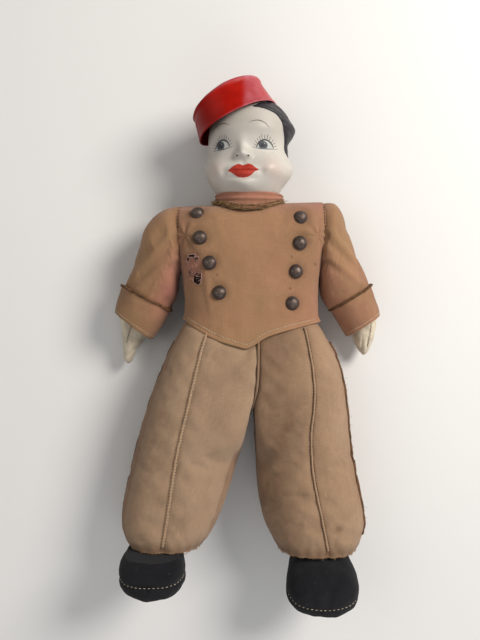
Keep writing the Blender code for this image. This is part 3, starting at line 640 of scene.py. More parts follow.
PINHOLES = [(28.0, 14.5), (27.0, -7.5), (45.5, 10.0), (-24.0, 2.0)]


def body_point(angle, y):
    """A point of the tunic's outside in millimetres: angle from the doll's left round through the front."""
    half_width, half_depth = BODY(y)
    c, s = superellipse(angle, BODY_POWER(y))
    lean = 1.6 * c * max(y - 10, 0) / 45
    return np.array((half_width * c, y + lean, max(MIDDLE_Z + half_depth * s, 0.15)))


def tunic_relief(x, y, front):
    """How far folds and puckers lift the tunic at a place, in millimetres."""
    high = 0.0
    if front:
        for armhole_x in (-47, 47):
            dx, dy = x - armhole_x, y - 30
            reach = math.exp(-(dx * dx + dy * dy) / 330)
            high += reach * 0.55 * math.sin(math.atan2(dy, dx) * 7 + 0.6)
        for button_x, button_y in BUTTONS:
            far = math.hypot(x - button_x, y - button_y)
            high -= 0.55 * math.exp(-(far / 5.2) ** 2)
            high += 0.25 * math.exp(-((far - 8.5) / 2.8) ** 2)
        high += 0.9 * math.exp(-(((x + 33) + 0.12 * (y - 10)) / 2.6) ** 2) * math.exp(-((y + 8) / 20) ** 2)
        high += 0.5 * math.exp(-((x + 0.35 * (y - 45) + 26) / 3.2) ** 2) * math.exp(-((y - 38) / 12) ** 2)
        high += 0.5 * math.exp(-((x - 0.5 * (y - 45) - 30) / 3.4) ** 2) * math.exp(-((y - 40) / 10) ** 2)
    high += 0.75 * fuzz((x, y * 0.6, 5 if front else 40), 17, 3) + 0.3 * fuzz((x, y, 9), 7, 8)
    return high


BUTTONS = [(-38.5, 46.2), (-36.2, 28.2), (-29.5, 10.5), (-22.5, -10.5),
           (34.5, 42.5), (33.8, 24.2), (31.0, 4.5), (28.5, -17.8)]


def tunic_tint(point):
    x, y, z = point / MM
    fade = 0.30 * math.exp(-((y - 54) / 4) ** 2) + 0.25 * max(fuzz((x, y, z), 26, 4), 0)
    fade += 0.35 * math.exp(-(((x + 51) / 5) ** 2)) * math.exp(-((y - 25) / 22) ** 2)
    fade += 0.18 * math.exp(-(((x - 49) / 5) ** 2)) + 0.1 * math.exp(-((y + 26) / 9) ** 2)
    soil = 0.22 * max(fuzz((x, y, z), 14, 11), 0)
    threadbare = math.exp(-((x + 41) / 6.5) ** 2 - ((y - 7) / 9.0) ** 2) * (z > 30)
    fade += 1.3 * threadbare * (0.7 + 0.5 * fuzz((x, y, 0), 2.2, 4))
    # Darker round each moth hole.
    for spot, size, _ in HOLES:
        soil += 0.55 * math.exp(-(((x - spot[0]) / (size[0] * 1.6)) ** 2 + ((y - spot[1]) / (size[1] * 1.6)) ** 2))
    # Each pinhole is a dark dot: painted shade inside a hole.
    for pin_x, pin_y in PINHOLES:
        soil += 1.6 * math.exp(-((x - pin_x) ** 2 + (y - pin_y) ** 2) / 0.5) * (z > 30)
    # Darker round each button.
    for button_x, button_y in BUTTONS:
        soil += 0.55 * math.exp(-((x - button_x) ** 2 + (y - button_y) ** 2) / 46)
    # Darker underneath, near the floor: painted shade.
    soil += 0.35 if z < 6 else 0
    # Lighter along the rubbed hem, and over the top of the chest as painted highlight.
    wear_and_highlight = 0.3 * math.exp(-((y - HEM(x)) / 1.6) ** 2) + 0.35 * math.exp(-((x + 2) / 30) ** 2) * (z > 40)
    return min(fade, 1), min(soil, 0.85), wear_and_highlight


class DOLL_OT_tunic(DollStep, bpy.types.Operator):
    """Makes the tunic, its stitched hem, its torn place, its stand collar and the braid round it"""

    bl_idname = "doll.tunic"
    bl_label = "Tunic"

    def make(self, context):
        p = context.scene.doll_cloth
        tunic = self.shell(p)
        surface = surface_of(tunic)
        self.tear(tunic, surface)
        self.hem_stitches(p, surface)
        self.collar(p)
        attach(tunic, "torso")
        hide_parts("tunic_front", "tunic_back", "torso_stuffing")

    def shell(self, p):
        columns, ups = 300, 124
        rows = []
        for i in range(ups + 1):
            share = (i / ups) ** 0.9
            row = []
            for j in range(columns):
                angle = 2 * math.pi * j / columns
                c, s = superellipse(angle, 2.5)
                bottom = HEM(50 * c) if s > 0 else -29.5 + 1.2 * math.cos(angle * 2)
                blend = min(abs(s) / 0.18, 1)
                bottom = bottom * blend + (-28.6) * (1 - blend)
                row.append(body_point(angle, bottom + (56.0 - bottom) * share))
            rows.append(row)
        rows = np.array(rows)
        normals = facing_out(rows)
        lift = np.array([[tunic_relief(p[0], p[1], n[2] > 0.1) for p, n in zip(row, line)]
                         for row, line in zip(rows, normals)])
        lift *= np.clip((56 - rows[:, :, 1]) / 6, 0, 1)
        low = rows[:, :, 2] < 3
        lift[low] = 0
        rows = rows + normals * lift[:, :, None]
        rows[:, :, 2] = np.maximum(rows[:, :, 2], 0.15)
        hem_lift = 0.9 * np.exp(-(np.arange(ups + 1) / 3.0))[:, None, None]
        rows = rows + normals * hem_lift * (rows[:, :, 2:3] > 6)
        thick = p.thickness / MM
        inner = rows[:10] - normals[:10] * thick
        edge = (rows[0] + inner[0]) / 2 - np.array((0, thick * 0.35, 0))
        whole = np.concatenate([inner[::-1], edge[None], rows]) * MM
        gather = Gather().grid(whole, wrap=True)
        end = (len(whole) - 1) * columns
        top = [end + j for j in range(columns)]
        for j in range(columns // 2 - 1):
            a, b, c, d = top[j], top[j + 1], top[columns - 2 - j], top[columns - 1 - j]
            gather.faces.append((a, b, c, d))
            gather.maps.append(((0, 0), (MM, 0), (MM, MM), (0, MM)))
            gather.slots.append(0)
        return gather.build("tunic", cloth_finish(), tunic_tint)

    def tear(self, tunic, surface):
        """Cuts the moth-eaten places through the cloth, with a dark sheet beneath as painted shadow in each hole, and
        ragged threads round them.
        """
        rng = random.Random(5)

        def ragged(angle, seed):
            return 1 + 0.36 * fuzz((math.cos(angle) * 2, math.sin(angle) * 2, seed), 0.9, seed)

        def inside(point):
            x, y, z = point / MM
            for (cx, cy), (rx, ry), seed in HOLES:
                a, b = (x - cx) / rx, (y - cy) / ry
                if z > 35 and math.hypot(a, b) < ragged(math.atan2(b, a), seed):
                    return True
            return False

        mesh = bmesh.new()
        mesh.from_mesh(tunic.data)
        gone = [face for face in mesh.faces if inside(face.calc_center_median())]
        bmesh.ops.delete(mesh, geom=gone, context="FACES")
        mesh.to_mesh(tunic.data)
        mesh.free()
        patch, rag = Gather(), Gather()
        for (cx, cy), (rx, ry), seed in HOLES:
            rim, rows = [], []
            for k in range(36):
                angle = 2 * math.pi * k / 36
                far = ragged(angle, seed)
                x, y = cx + rx * far * math.cos(angle), cy + ry * far * math.sin(angle)
                rim.append(drop_on(surface, x * MM, y * MM, 0.1 * MM)[0])
            for t in (0.02, 0.5, 1.0, 1.6):
                rows.append([drop_on(surface, cx * MM + (q.x - cx * MM) * t, cy * MM + (q.y - cy * MM) * t,
                                     -1.5 * MM)[0] for q in rim])
            patch.grid(rows, wrap=True)
            rag.tube([tuple(q) for q in rim], [0.16 * MM * rng.uniform(0.4, 1.7) for _ in rim], 5, closed=True)
            centre = Vector((cx, cy, 0)) * MM
            starts = [(rim[k], (centre - Vector((rim[k].x, rim[k].y, 0))).normalized()
                       * rng.uniform(-0.7, 1.1) + Vector((0, 0, 0.25))) for k in range(0, 36, 2)]
            wisps(rag, starts, 2.2 * MM, 0.10 * MM, rng)
        for _ in range(90):
            x, y = rng.gauss(-41, 3.6), rng.gauss(7, 5.0)
            start, normal = drop_on(surface, x * MM, y * MM, 0.12 * MM)
            ahead = Vector((rng.uniform(-1, 1), rng.uniform(-1, 1), 0.1)).normalized()
            wisps(rag, [(start, ahead)], 1.9 * MM, 0.12 * MM, rng)
        # The dark sheet under each hole is painted shadow, where the inside of the tunic shows.
        under = patch.build(
            "tear_shadow_sheet", look("tear_dark", plain_paint, (0.010, 0.007, 0.007), (0.03, 0.014, 0.012)))
        edge = rag.build("tear_threads", cloth_finish("pink_thread"))
        for piece in (under, edge):
            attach(piece, "torso")

    def hem_stitches(self, p, surface):
        rng = random.Random(2)
        sewn = Gather()
        line = spaced([(x * MM, (HEM(x) + 2.6) * MM, 0) for x in np.linspace(-46, 46, 40)], p.stitch * 1.35)
        points, normals = zip(*(drop_on(surface, q.x, q.y, 0.12 * MM) for q in line))
        stitches(sewn, points, normals, p.stitch * 0.95, 0.24 * MM, rng)
        hem = sewn.build("tunic_hem_stitches", cloth_finish("cream_thread"))
        dark = Gather()
        for side in WORDS:
            x = 52.2 * side
            line = spaced([(x * MM, y * MM, 0) for y in (53, 45, 36)], 0.0023)
            points, normals = zip(*(drop_on(surface, q.x, q.y, 0.4 * MM) for q in line))
            stitches(dark, points, normals, 1.5 * MM, 0.3 * MM, rng)
        seam = dark.build("armhole_stitches", cloth_finish("dark_thread"))
        for piece, name in ((hem, "tan_cotton"), (seam, "brown_thread")):
            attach(piece, "torso")

    def collar(self, p):
        """A folded stand collar, and frayed braid lying round its base."""
        rng = random.Random(7)
        columns = 120

        def loop(radius, y_side, dip, wave=0.0):
            row = []
            for j in range(columns):
                angle = 2 * math.pi * j / columns
                c, s = math.cos(angle), math.sin(angle)
                r = radius + wave * math.sin(angle * 3 + 1) + 0.35 * fuzz((c * 20, s * 20, y_side), 9, 5)
                row.append((r * 1.06 * c - 1.6, y_side - dip * s * s + 0.5 * fuzz((c * 20, s * 20, 3), 12, 2),
                            MIDDLE_Z + r * s))
            return row

        rows = [loop(20.2, 56.0, 3.0), loop(20.8, 59.2, 1.0), loop(22.0, 61.6, 0.4), loop(23.1, 62.3, 0.3),
                loop(23.8, 61.5, 0.6, 0.3), loop(22.9, 60.2, 1.5, 0.4), loop(24.1, 59.0, 2.4, 0.5),
                loop(23.0, 57.8, 3.4, 0.3), loop(24.2, 56.6, 4.6, 0.2), loop(23.8, 55.2, 6.0), loop(21.8, 54.2, 5.0)]
        outline = Profile([(k, *[v for q in row for v in q]) for k, row in enumerate(rows)])
        fine = [outline(t).reshape(columns, 3) for t in np.linspace(0, len(rows) - 1, 44)]

        def collar_tint(point):
            # Pink fading, blotchy dirt, and darker along the collar's foot as painted shade where it meets the tunic.
            return 0.8, 0.15 + 0.3 * (point.y < 0.0565) + 0.3 * max(fuzz(point, 0.004, 6), 0), 0.2

        collar = Gather().grid(np.array(fine) * MM, wrap=True, ring=True).build(
            "collar", cloth_finish(), collar_tint)
        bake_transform(collar)
        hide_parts("stand_collar")
        cord = Gather()
        loose = Gather()
        for k, (radius, y, dip) in enumerate(((24.3, 56.9, 7.2), (24.9, 56.0, 7.0), (24.0, 57.9, 6.6),
                                              (25.2, 57.0, 7.4), (25.0, 55.4, 7.0), (24.4, 58.2, 6.6))):
            line, ups = [], []
            for j in range(300):
                angle = 2 * math.pi * j / 300
                c, s = math.cos(angle), math.sin(angle)
                sway = 0.4 if k < 3 else 1.5
                r = radius + 0.35 * fuzz((c * 20, s * 20, k), 5, k)
                line.append(Vector(((r * 1.05 * c - 1.6) * MM,
                                    (y - dip * s * s + sway * fuzz((c * 20, s * 20, k * 9), 6, 9)) * MM,
                                    (MIDDLE_Z + r * s) * MM)))
                ups.append(Vector((c, 0.3, s)).normalized())
            if k < 3:
                twisted(cord, line, ups, 0.34 * MM, 2.2 * MM, rng=rng)
            else:
                loose.tube([tuple(q) for q in line], 0.17 * MM, 5, closed=True)
            starts = [(line[j], Vector((ups[j].x, rng.uniform(-1.4, 1), ups[j].z)).normalized())
                      for j in range(k, 300, 7)]
            wisps(loose, starts, 2.8 * MM, 0.13 * MM, rng)
        strands = loose.build("collar_loose_strands", cloth_finish("bright"))
        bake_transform(strands)
        braid = cord.build("collar_cord", cloth_finish("gold"))
        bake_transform(braid)
        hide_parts("collar_braid")


class DOLL_OT_buttons(DollStep, bpy.types.Operator):
    """Makes the domed metal buttons"""

    bl_idname = "doll.buttons"
    bl_label = "Buttons"

    def make(self, context):
        finish = look("tarnished_brass", old_brass, (0.085, 0.060, 0.050), (0.20, 0.15, 0.125))
        surface = surface_of(bpy.data.objects["tunic"])
        rng = random.Random(11)
        for index, (x, y) in enumerate(BUTTONS):
            word, number = ("right", index + 1) if index < 4 else ("left", index - 3)
            node = f"tunic_button_{word}_{number}"
            foot, out = drop_on(surface, x * MM, y * MM)
            low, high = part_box(node)
            out = (out + Vector((rng.uniform(-0.05, 0.05), rng.uniform(-0.05, 0.05), 0.6))).normalized()
            across = out.orthogonal().normalized()
            deep = out.cross(across)
            radius = (max(high.x - low.x, high.y - low.y)) / 2
            profile = [(0.0, -0.5), (4.3, -0.3), (4.95, 0.0), (5.12, 0.35), (5.0, 0.65), (4.72, 0.78), (4.62, 0.86),
                       (4.3, 1.45), (3.7, 2.15), (2.9, 2.75), (1.9, 3.2), (0.9, 3.42), (0.02, 3.48)]
            fine = Profile([(k, *q) for k, q in enumerate(profile)])
            rows = []
            for t in np.linspace(0, len(profile) - 1, 34):
                r, h = fine(t)
                r, h = max(r, 0.01) * radius / 5.12, (h + 0.5) * MM
                row = []
                for j in range(40):
                    angle = 2 * math.pi * j / 40
                    dent = 1 - 0.018 * fuzz((math.cos(angle) * r * 2000, math.sin(angle) * r * 2000, index), 2.5, index)
                    row.append(foot + out * h * dent + (across * math.cos(angle) + deep * math.sin(angle)) * r)
                rows.append(row)
            # The third tint amount peaks at the dome's top: a painted highlight.
            button = Gather().grid(rows, wrap=True).build(
                f"button_{word}_{number}", finish,
                lambda q, top=foot + out * 3.6 * MM: (0, 0, math.exp(-((q - top).length / 0.0034) ** 2)))
            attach(button, "torso")
            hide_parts(node)


# Sleeves, cuffs and hands, in millimetres: outer edge, inner edge, middle height, half depth

SLEEVES = {
    -1: [(-51.6, 54.2, -51.6, 8.5, 28.0, 17.0), (-56.8, 54.0, -52.4, 6.0, 28.0, 19.8),
         (-63.5, 52.0, -53.4, 3.2, 28.0, 21.4), (-71.5, 46.6, -54.0, 0.5, 27.6, 20.8),
         (-78.6, 37.0, -54.2, -3.5, 27.0, 20.0), (-83.2, 24.0, -54.8, -8.0, 26.0, 19.0),
         (-88.2, 10.8, -56.0, -13.0, 24.2, 18.0), (-92.4, 0.6, -59.0, -18.5, 22.2, 17.2),
         (-94.6, -5.0, -60.6, -22.5, 21.0, 16.6), (-96.4, -8.5, -62.5, -26.5, 20.2, 15.8)],
    1: [(51.6, 56.0, 50.6, 8.5, 28.2, 17.0), (56.4, 56.6, 50.8, 6.0, 28.2, 19.8),
        (62.0, 55.6, 51.0, 3.2, 28.1, 21.4), (67.3, 49.0, 51.2, 0.0, 27.8, 20.8),
        (71.6, 37.0, 51.4, -5.0, 27.0, 20.0), (77.6, 21.8, 52.2, -10.0, 26.0, 19.0),
        (83.0, 9.0, 54.4, -15.0, 24.2, 18.0), (86.8, 1.0, 57.6, -19.5, 22.2, 17.2),
        (88.8, -4.5, 60.4, -22.6, 21.0, 16.6), (90.6, -8.5, 63.0, -26.5, 20.2, 15.8)],
}
CUFFS = {
    -1: [(-95.4, -3.4, -60.8, -21.0, 21.4, 17.0), (-97.8, -10.5, -65.2, -29.5, 20.0, 16.8),
         (-100.9, -18.0, -70.2, -37.8, 18.6, 16.4), (-102.6, -23.6, -75.0, -44.2, 17.4, 15.8)],
    1: [(88.6, -3.4, 60.8, -20.6, 21.4, 17.0), (91.6, -11.0, 64.8, -28.0, 20.0, 16.8),
        (95.2, -19.4, 69.2, -35.8, 18.6, 16.4), (97.0, -26.2, 72.6, -41.8, 17.4, 15.8)],
}


def edge_rows(table, count, columns, grow=0.0, power=2.2, start=0.0, end=1.0):
    """Rings through a sleeve's stations, each in the upright plane through its two edges."""
    stations = Profile([(k, *row) for k, row in enumerate(table)])
    rows = []
    for i in range(count + 1):
        t = (start + (end - start) * i / count) * (len(table) - 1)
        ox, oy, ix, iy, z, depth = stations(t)
        middle = np.array(((ox + ix) / 2, (oy + iy) / 2, z))
        across = np.array(((ox - ix) / 2, (oy - iy) / 2, 0.0))
        size = np.linalg.norm(across)
        across *= (size + grow) / size
        row = []
        for j in range(columns):
            c, s = superellipse(2 * math.pi * j / columns, power)
            point = middle + across * c + np.array((0, 0, (depth + grow) * s))
            point[2] = max(point[2], 0.3 + 0.02 * fuzz(point, 5))
            row.append(point)
        rows.append(row)
    return np.array(rows)


def sleeve_folds(side, point, t):
    """Diagonal wrinkles from the armpit to the elbow, in millimetres."""
    x, y, z = point
    across = x * side
    fold = 0.0
    for k, (start, slope, width, high) in enumerate(((62, 1.1, 5.2, 1.1), (76, 0.9, 4.6, 0.9),
                                                      (57.5, 1.5, 3.4, 0.7))):
        line = start - slope * (y - 12)
        fold += high * math.exp(-((across - line) / width) ** 2) * math.exp(-((y - 14 - 5 * k) / 17) ** 2)
        fold -= 0.6 * high * math.exp(-((across - line - width * 1.6) / width) ** 2) * math.exp(-((y - 14) / 17) ** 2)
    fade = math.sin(math.pi * min(max(t, 0), 1)) ** 0.5
    return (fold * (1.3 if z > 20 else 0.6) + 0.6 * fuzz((x, y, z), 19, 6 + side)) * fade


def sleeve_tint(side):
    def tint(point):
        x, y, z = point / MM
        across = x * side
        inner = math.exp(-((across - 57 + 0.35 * (y + 2)) / 11) ** 2) * math.exp(-((y + 2) / 26) ** 2)
        fade = (1.0 if side < 0 else 0.45) * inner + 0.2 * max(fuzz((x, y, z), 16, 2), 0)
        # Blotchy dirt, and darker underneath near the floor as painted shade.
        soil = 0.3 * max(fuzz((x, y, z), 12, 21), 0) + (0.3 if z < 5 else 0)
        # Darker along the armhole seam.
        soil += 0.35 * math.exp(-((across - 54) / 2.2) ** 2)
        # Lighter over the top of the sleeve: painted highlight.
        return fade, soil, 0.25 * (z > 38)
    return tint


class DOLL_OT_sleeves(DollStep, bpy.types.Operator):
    """Makes the sleeves, turn-back cuffs, their stitching and the twisted braid round them"""

    bl_idname = "doll.sleeves"
    bl_label = "Sleeves and cuffs"

    def make(self, context):
        for side in WORDS:
            self.sleeve(context.scene.doll_cloth, side)

    def sleeve(self, p, side):
        word = WORDS[side]
        rng = random.Random(20 + side)
        columns = 110
        rows = edge_rows(SLEEVES[side], 80, columns)
        normals = facing_out(rows)
        lift = np.array([[sleeve_folds(side, q, i / 80) for q in row] for i, row in enumerate(rows)])
        rows = rows + normals * lift[:, :, None] * (rows[:, :, 2:3] > 3)
        held = np.zeros(rows.shape[:2], bool)
        held[:3] = held[-8:] = held[:, (rows[0, :, 2] < 14)] = True
        rows = stuffed(rows * MM, held, spare=0.01, cap=1.0 * MM) / MM
        rows[:, :, 2] = np.maximum(rows[:, :, 2], 0.3)
        cap = rows[0].mean(axis=0) * 0.9 + rows[0] * 0.1 - np.array((side * 3.0, 0, 0))
        rows = np.concatenate([(rows[0] * 0.9 + cap * 0.1 - np.array((side * 1.6, 0, 0)))[None], rows])
        sleeve = Gather().grid(rows * MM, wrap=True).build(
            f"{word}_sleeve_cloth", cloth_finish(), sleeve_tint(side))
        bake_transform(sleeve)
        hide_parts(f"{word}_sleeve", f"{word}_armhole_seam")
        self.cuff(p, side, rng)

    def cuff(self, p, side, rng):
        word = WORDS[side]
        columns = 110
        outer = edge_rows(CUFFS[side], 26, columns, grow=0.7)
        normals = facing_out(outer)
        lift = lumps(outer, 9, 0.5, 30 + side) + 0.35 * np.cos(np.linspace(0, math.pi, 27))[:, None]
        outer = outer + normals * lift[:, :, None] * (outer[:, :, 2:3] > 2)
        outer[:, :, 2] = np.maximum(outer[:, :, 2], 0.2)
        inner = (outer - normals * 1.15)[::-1]
        rim = (outer[-1] + inner[0]) / 2
        rim += (rim - (outer[-3] + inner[2]) / 2) * 0.12
        top = (outer[0] + inner[-1]) / 2
        rows = np.concatenate([top[None], outer, rim[None], inner])
        cuff = Gather().grid(rows * MM, wrap=True, ring=True).build(
            f"{word}_cuff_cloth", cloth_finish(), sleeve_tint(side))
        surface = surface_of(cuff)
        sewn = Gather()
        row = outer[-4]
        line = [Vector(q) * MM for q in row] + [Vector(row[0]) * MM]
        points, ups = [], []
        for q in spaced(line, p.stitch * 1.2):
            place, normal = near_on(surface, q, 0.1 * MM, q - Vector(row.mean(axis=0)) * MM)
            points.append(place)
            ups.append(normal)
        stitches(sewn, points, ups, p.stitch * 0.8, 0.18 * MM, rng)
        hem = sewn.build(f"{word}_cuff_stitches", cloth_finish("cream_thread"))
        cord = Gather()
        ring = edge_rows(CUFFS[side], 1, 300, grow=1.35, end=0.03)[1]
        middle = ring.mean(axis=0)
        ring = ring + np.array([(0.45 * fuzz(q, 6, 3), 0.5 * fuzz(q, 5, 8), 0) for q in ring])
        ups = [Vector(q - middle).normalized() for q in ring]
        ring[:, 2] = np.maximum(ring[:, 2], 1.15)
        line = [Vector(q) * MM for q in ring]
        twisted(cord, line, ups, 0.58 * MM, 3.2 * MM, rng=rng)
        twisted(cord, line, ups, 0.13 * MM, 3.2 * MM, slot=1, spread=4.6)
        starts = [(line[k], (ups[k] + Vector((rng.uniform(-1, 1), rng.uniform(-1, 1), 0))).normalized())
                  for k in range(0, 300, 11)]
        wisps(cord, starts, 2.0 * MM, 0.07 * MM, rng)
        braid = cord.build(f"{word}_cuff_cord", [cloth_finish("gold"), cloth_finish("bright")])
        for piece, node, slot in ((cuff, f"{word}_cuff", "tan_cotton"), (hem, None, "tan_cotton"),
                                  (braid, f"{word}_cuff_braid", "gold_braid")):
            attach(piece, f"{word}_arm")
            if node:
                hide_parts(node)


HANDS = {
    -1: [(-20, -99.0, -73.0, 15.5, 9.8), (-30, -99.4, -74.6, 14.0, 9.6), (-36, -98.8, -75.6, 13.0, 9.2),
         (-41, -98.4, -77.8, 12.4, 8.6), (-46, -98.0, -82.6, 12.0, 7.6), (-51, -97.8, -87.2, 11.6, 6.5),
         (-56, -97.5, -89.2, 11.2, 5.6), (-60, -96.8, -90.8, 11.0, 4.4), (-62.2, -95.4, -92.4, 10.8, 2.4),
         (-62.9, -94.4, -93.6, 10.8, 0.7)],
    1: [(-20, 73.0, 95.0, 15.5, 9.5), (-30, 75.0, 96.0, 14.0, 9.2), (-37, 77.2, 95.6, 13.0, 8.8),
        (-43, 78.8, 94.2, 12.4, 8.0), (-48, 80.4, 92.4, 12.0, 7.0), (-52, 82.4, 90.8, 11.6, 5.6),
        (-54.6, 84.4, 89.2, 11.2, 3.8), (-56.0, 86.2, 87.8, 11.0, 1.4)],
}


class DOLL_OT_hands(DollStep, bpy.types.Operator):
    """Makes the stuffed cream hands with their thumbs and hand-sewn seams"""

    bl_idname = "doll.hands"
    bl_label = "Hands"

    def make(self, context):
        for side in WORDS:
            self.hand(side)

    def hand(self, side):
        word = WORDS[side]
        shape = Profile(HANDS[side])
        first, last = HANDS[side][-1][0], HANDS[side][0][0]
        columns = 64
        rows = []
        for i in range(60):
            y = last + (first - last) * (i / 59) ** 0.8
            left, right, z, depth = shape(y)
            row = []
            for j in range(columns):
                angle = 2 * math.pi * j / columns
                c, s = superellipse(angle, 2.1)
                x = (left + right) / 2 + max((right - left) / 2, 0.3) * c
                groove = 0.0
                if side > 0 and y < -40:
                    groove = 0.8 * sum(math.exp(-((x - g) / 0.8) ** 2) for g in (84.2, 88.4)) * min((-40 - y) / 6, 1)
                thumb = 0.0
                if side < 0 and c > 0.2:
                    thumb = 1.5 * math.exp(-((y + 39) / 3.0) ** 2) * c - 1.0 * math.exp(-((y + 44.5) / 1.6) ** 2) * c
                row.append((x + thumb, y, z + (max(depth, 0.3) - groove) * s))
            rows.append(row)
        rows = np.array(rows)
        normals = facing_out(rows)
        rows = rows + normals * (lumps(rows, 4.5, 0.5, 12 + side) + lumps(rows, 2.0, 0.14, 3))[:, :, None]
        # Blotchy dirt, and darker underneath near the floor as painted shade.
        hand = Gather().grid(rows * MM, wrap=True, caps=True).build(
            f"{word}_hand", cloth_finish("cream"),
            lambda q: (0.2, 0.12 + 0.5 * max(fuzz(q, 0.006, 4), 0) + 0.3 * (q.z < 0.008), 0.0))
        surface = surface_of(hand)
        seam, sewn = Gather(), Gather()
        if side < 0:
            route = [(-87.0, -26), (-89.5, -33), (-92.0, -40), (-94.0, -47)]
        else:
            route = [(91.0, -28), (90.4, -36), (89.6, -44), (88.6, -50)]
        line = spaced([(x * MM, y * MM, 0) for x, y in route], 1.5 * MM)
        zig = [drop_on(surface, q.x + (0.75 if k % 2 else -0.75) * MM, q.y, 0.12 * MM)[0]
               for k, q in enumerate(line)]
        sewn.tube([tuple(q) for q in zig], 0.17 * MM, 5)
        ridge = [drop_on(surface, q.x, q.y, 0.0)[0] for q in line]
        seam.tube([tuple(q) for q in ridge], 0.45 * MM, 6, flat=0.7)
        pieces = [(hand, "cream_cotton"),
                  (sewn.build(f"{word}_hand_seam_thread", cloth_finish("dark_thread")), "brown_thread"),
                  (seam.build(f"{word}_hand_seam", cloth_finish("cream"), lambda q: (0.1, 0.5, 0)), "cream_cotton")]
        for piece, slot in pieces:
            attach(piece, f"{word}_arm")
        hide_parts(f"{word}_arm_and_hand")


# Trousers, in millimetres: place along the doll, outer edge, inner edge, half depth

LEGS = {
    -1: [(-22, -46.5, 2.0, 26.6), (-34, -50.5, 4.0, 27.6), (-44, -56.0, 4.65, 28.2), (-53, -60.6, 4.65, 28.6),
         (-64, -65.0, 4.5, 29.0), (-78, -70.6, 3.3, 29.4), (-96, -76.4, -1.0, 29.6), (-118, -82.6, -6.6, 29.6),
         (-138, -87.8, -12.4, 29.6), (-158, -92.6, -18.6, 29.2), (-172, -94.6, -23.4, 28.6), (-182, -94.0, -27.8, 27.8),
         (-189, -91.4, -32.4, 26.8), (-193.4, -88.2, -36.6, 25.6)],
    1: [(-22, 47.5, 2.0, 26.6), (-34, 50.5, 4.2, 27.6), (-44, 56.0, 4.85, 28.2), (-53, 61.2, 4.85, 28.6),
        (-64, 64.6, 4.75, 29.0), (-78, 67.8, 3.9, 29.4), (-92, 69.6, 2.0, 29.6), (-112, 71.6, 2.8, 29.6),
        (-132, 74.6, 3.4, 29.6), (-152, 78.6, 4.6, 29.4), (-168, 81.8, 7.4, 29.0), (-180, 82.6, 11.4, 28.2),
        (-189, 80.6, 15.8, 27.2), (-196.6, 76.6, 20.4, 25.6)],
}
PLEATS = {
    -1: [(-31.0, -37.5), (-35.0, -50), (-38.0, -62), (-44.0, -88), (-51.6, -120), (-58.6, -164), (-62.6, -189)],
    1: [(37.4, -35.5), (40.4, -50), (43.2, -68), (43.8, -88), (41.6, -108), (42.0, -127), (44.6, -147), (48.6, -166),
        (53.6, -191)],
}


def tucked(x, y, z):
    """Draws the trousers' top in under the tunic."""
    half_width, half_depth = (size - 3.0 for size in BODY(y))
    reach = (abs(x / half_width) ** 2.6 + abs((z - MIDDLE_Z) / half_depth) ** 2.6) ** (1 / 2.6)
    hem = HEM(x) if z > MIDDLE_Z else -29.5
    under = min(max((y - hem + 5) / 6, 0), 1)
    share = 1 + (1 / max(reach, 1) - 1) * under
    return x * share, MIDDLE_Z + (z - MIDDLE_Z) * share


def leg_point(side, shape, angle, y):
    outer, inner, depth = shape(y)
    middle, half = (outer + inner) / 2, abs(outer - inner) / 2
    c, s = math.cos(angle), math.sin(angle)
    seat = min(max((y + 132) / 52, 0), 1)
    seat *= seat * (3 - 2 * seat)
    inward = c * side < 0
    power = 2.35 + (14.0 * seat if inward else 0.0)
    c, s = superellipse(angle, power)
    return np.array((middle + half * c, y, max(29.2 + depth * s, 0.12)))


def evenly(ring, columns):
    """The same closed line with its points spread evenly along it."""
    closed = np.concatenate([ring, ring[:1]])
    along = np.concatenate([[0], np.linalg.norm(np.diff(closed, axis=0), axis=1).cumsum()])
    spots = np.linspace(0, along[-1], columns, endpoint=False)
    return np.stack([np.interp(spots, along, closed[:, k]) for k in range(3)], axis=1)


def leg_relief(side, point, y):
    x, _, z = point
    hem = HEM_LINE[side]
    high = 0.35 * fuzz((x, y * 0.5, z), 26, 14 + side) + 0.2 * fuzz((x, y, z), 9, 2)
    near_hem = math.exp(-((y - hem) / 9) ** 2)
    high += near_hem * 0.4 * math.sin(math.atan2(z - 29, x - 50 * side) * 21 + 2 * fuzz((x, y, z), 12, 7))
    crotch = math.hypot(x - 3, (y + 62) * 0.8)
    high += 0.4 * math.exp(-(crotch / 20) ** 2) * math.sin((y + 0.9 * abs(x)) * 0.42)
    high -= 1.1 * math.exp(-(((x - pleat_x(side, y)) / 3.0) ** 2)) if z > 30 else 0
    high += 0.35 * math.exp(-((abs(x - pleat_x(side, y)) - 7) / 4) ** 2) * math.sin(y * 0.37) if z > 30 else 0
    return high * (min(abs(x - 4.75) / 5, 1) if y > -92 else 1)


HEM_LINE = {-1: -193.4, 1: -196.6}
PLEAT_AT = {side: Profile([(y, x) for x, y in route]) for side, route in PLEATS.items()}


def pleat_x(side, y):
    return PLEAT_AT[side](y)


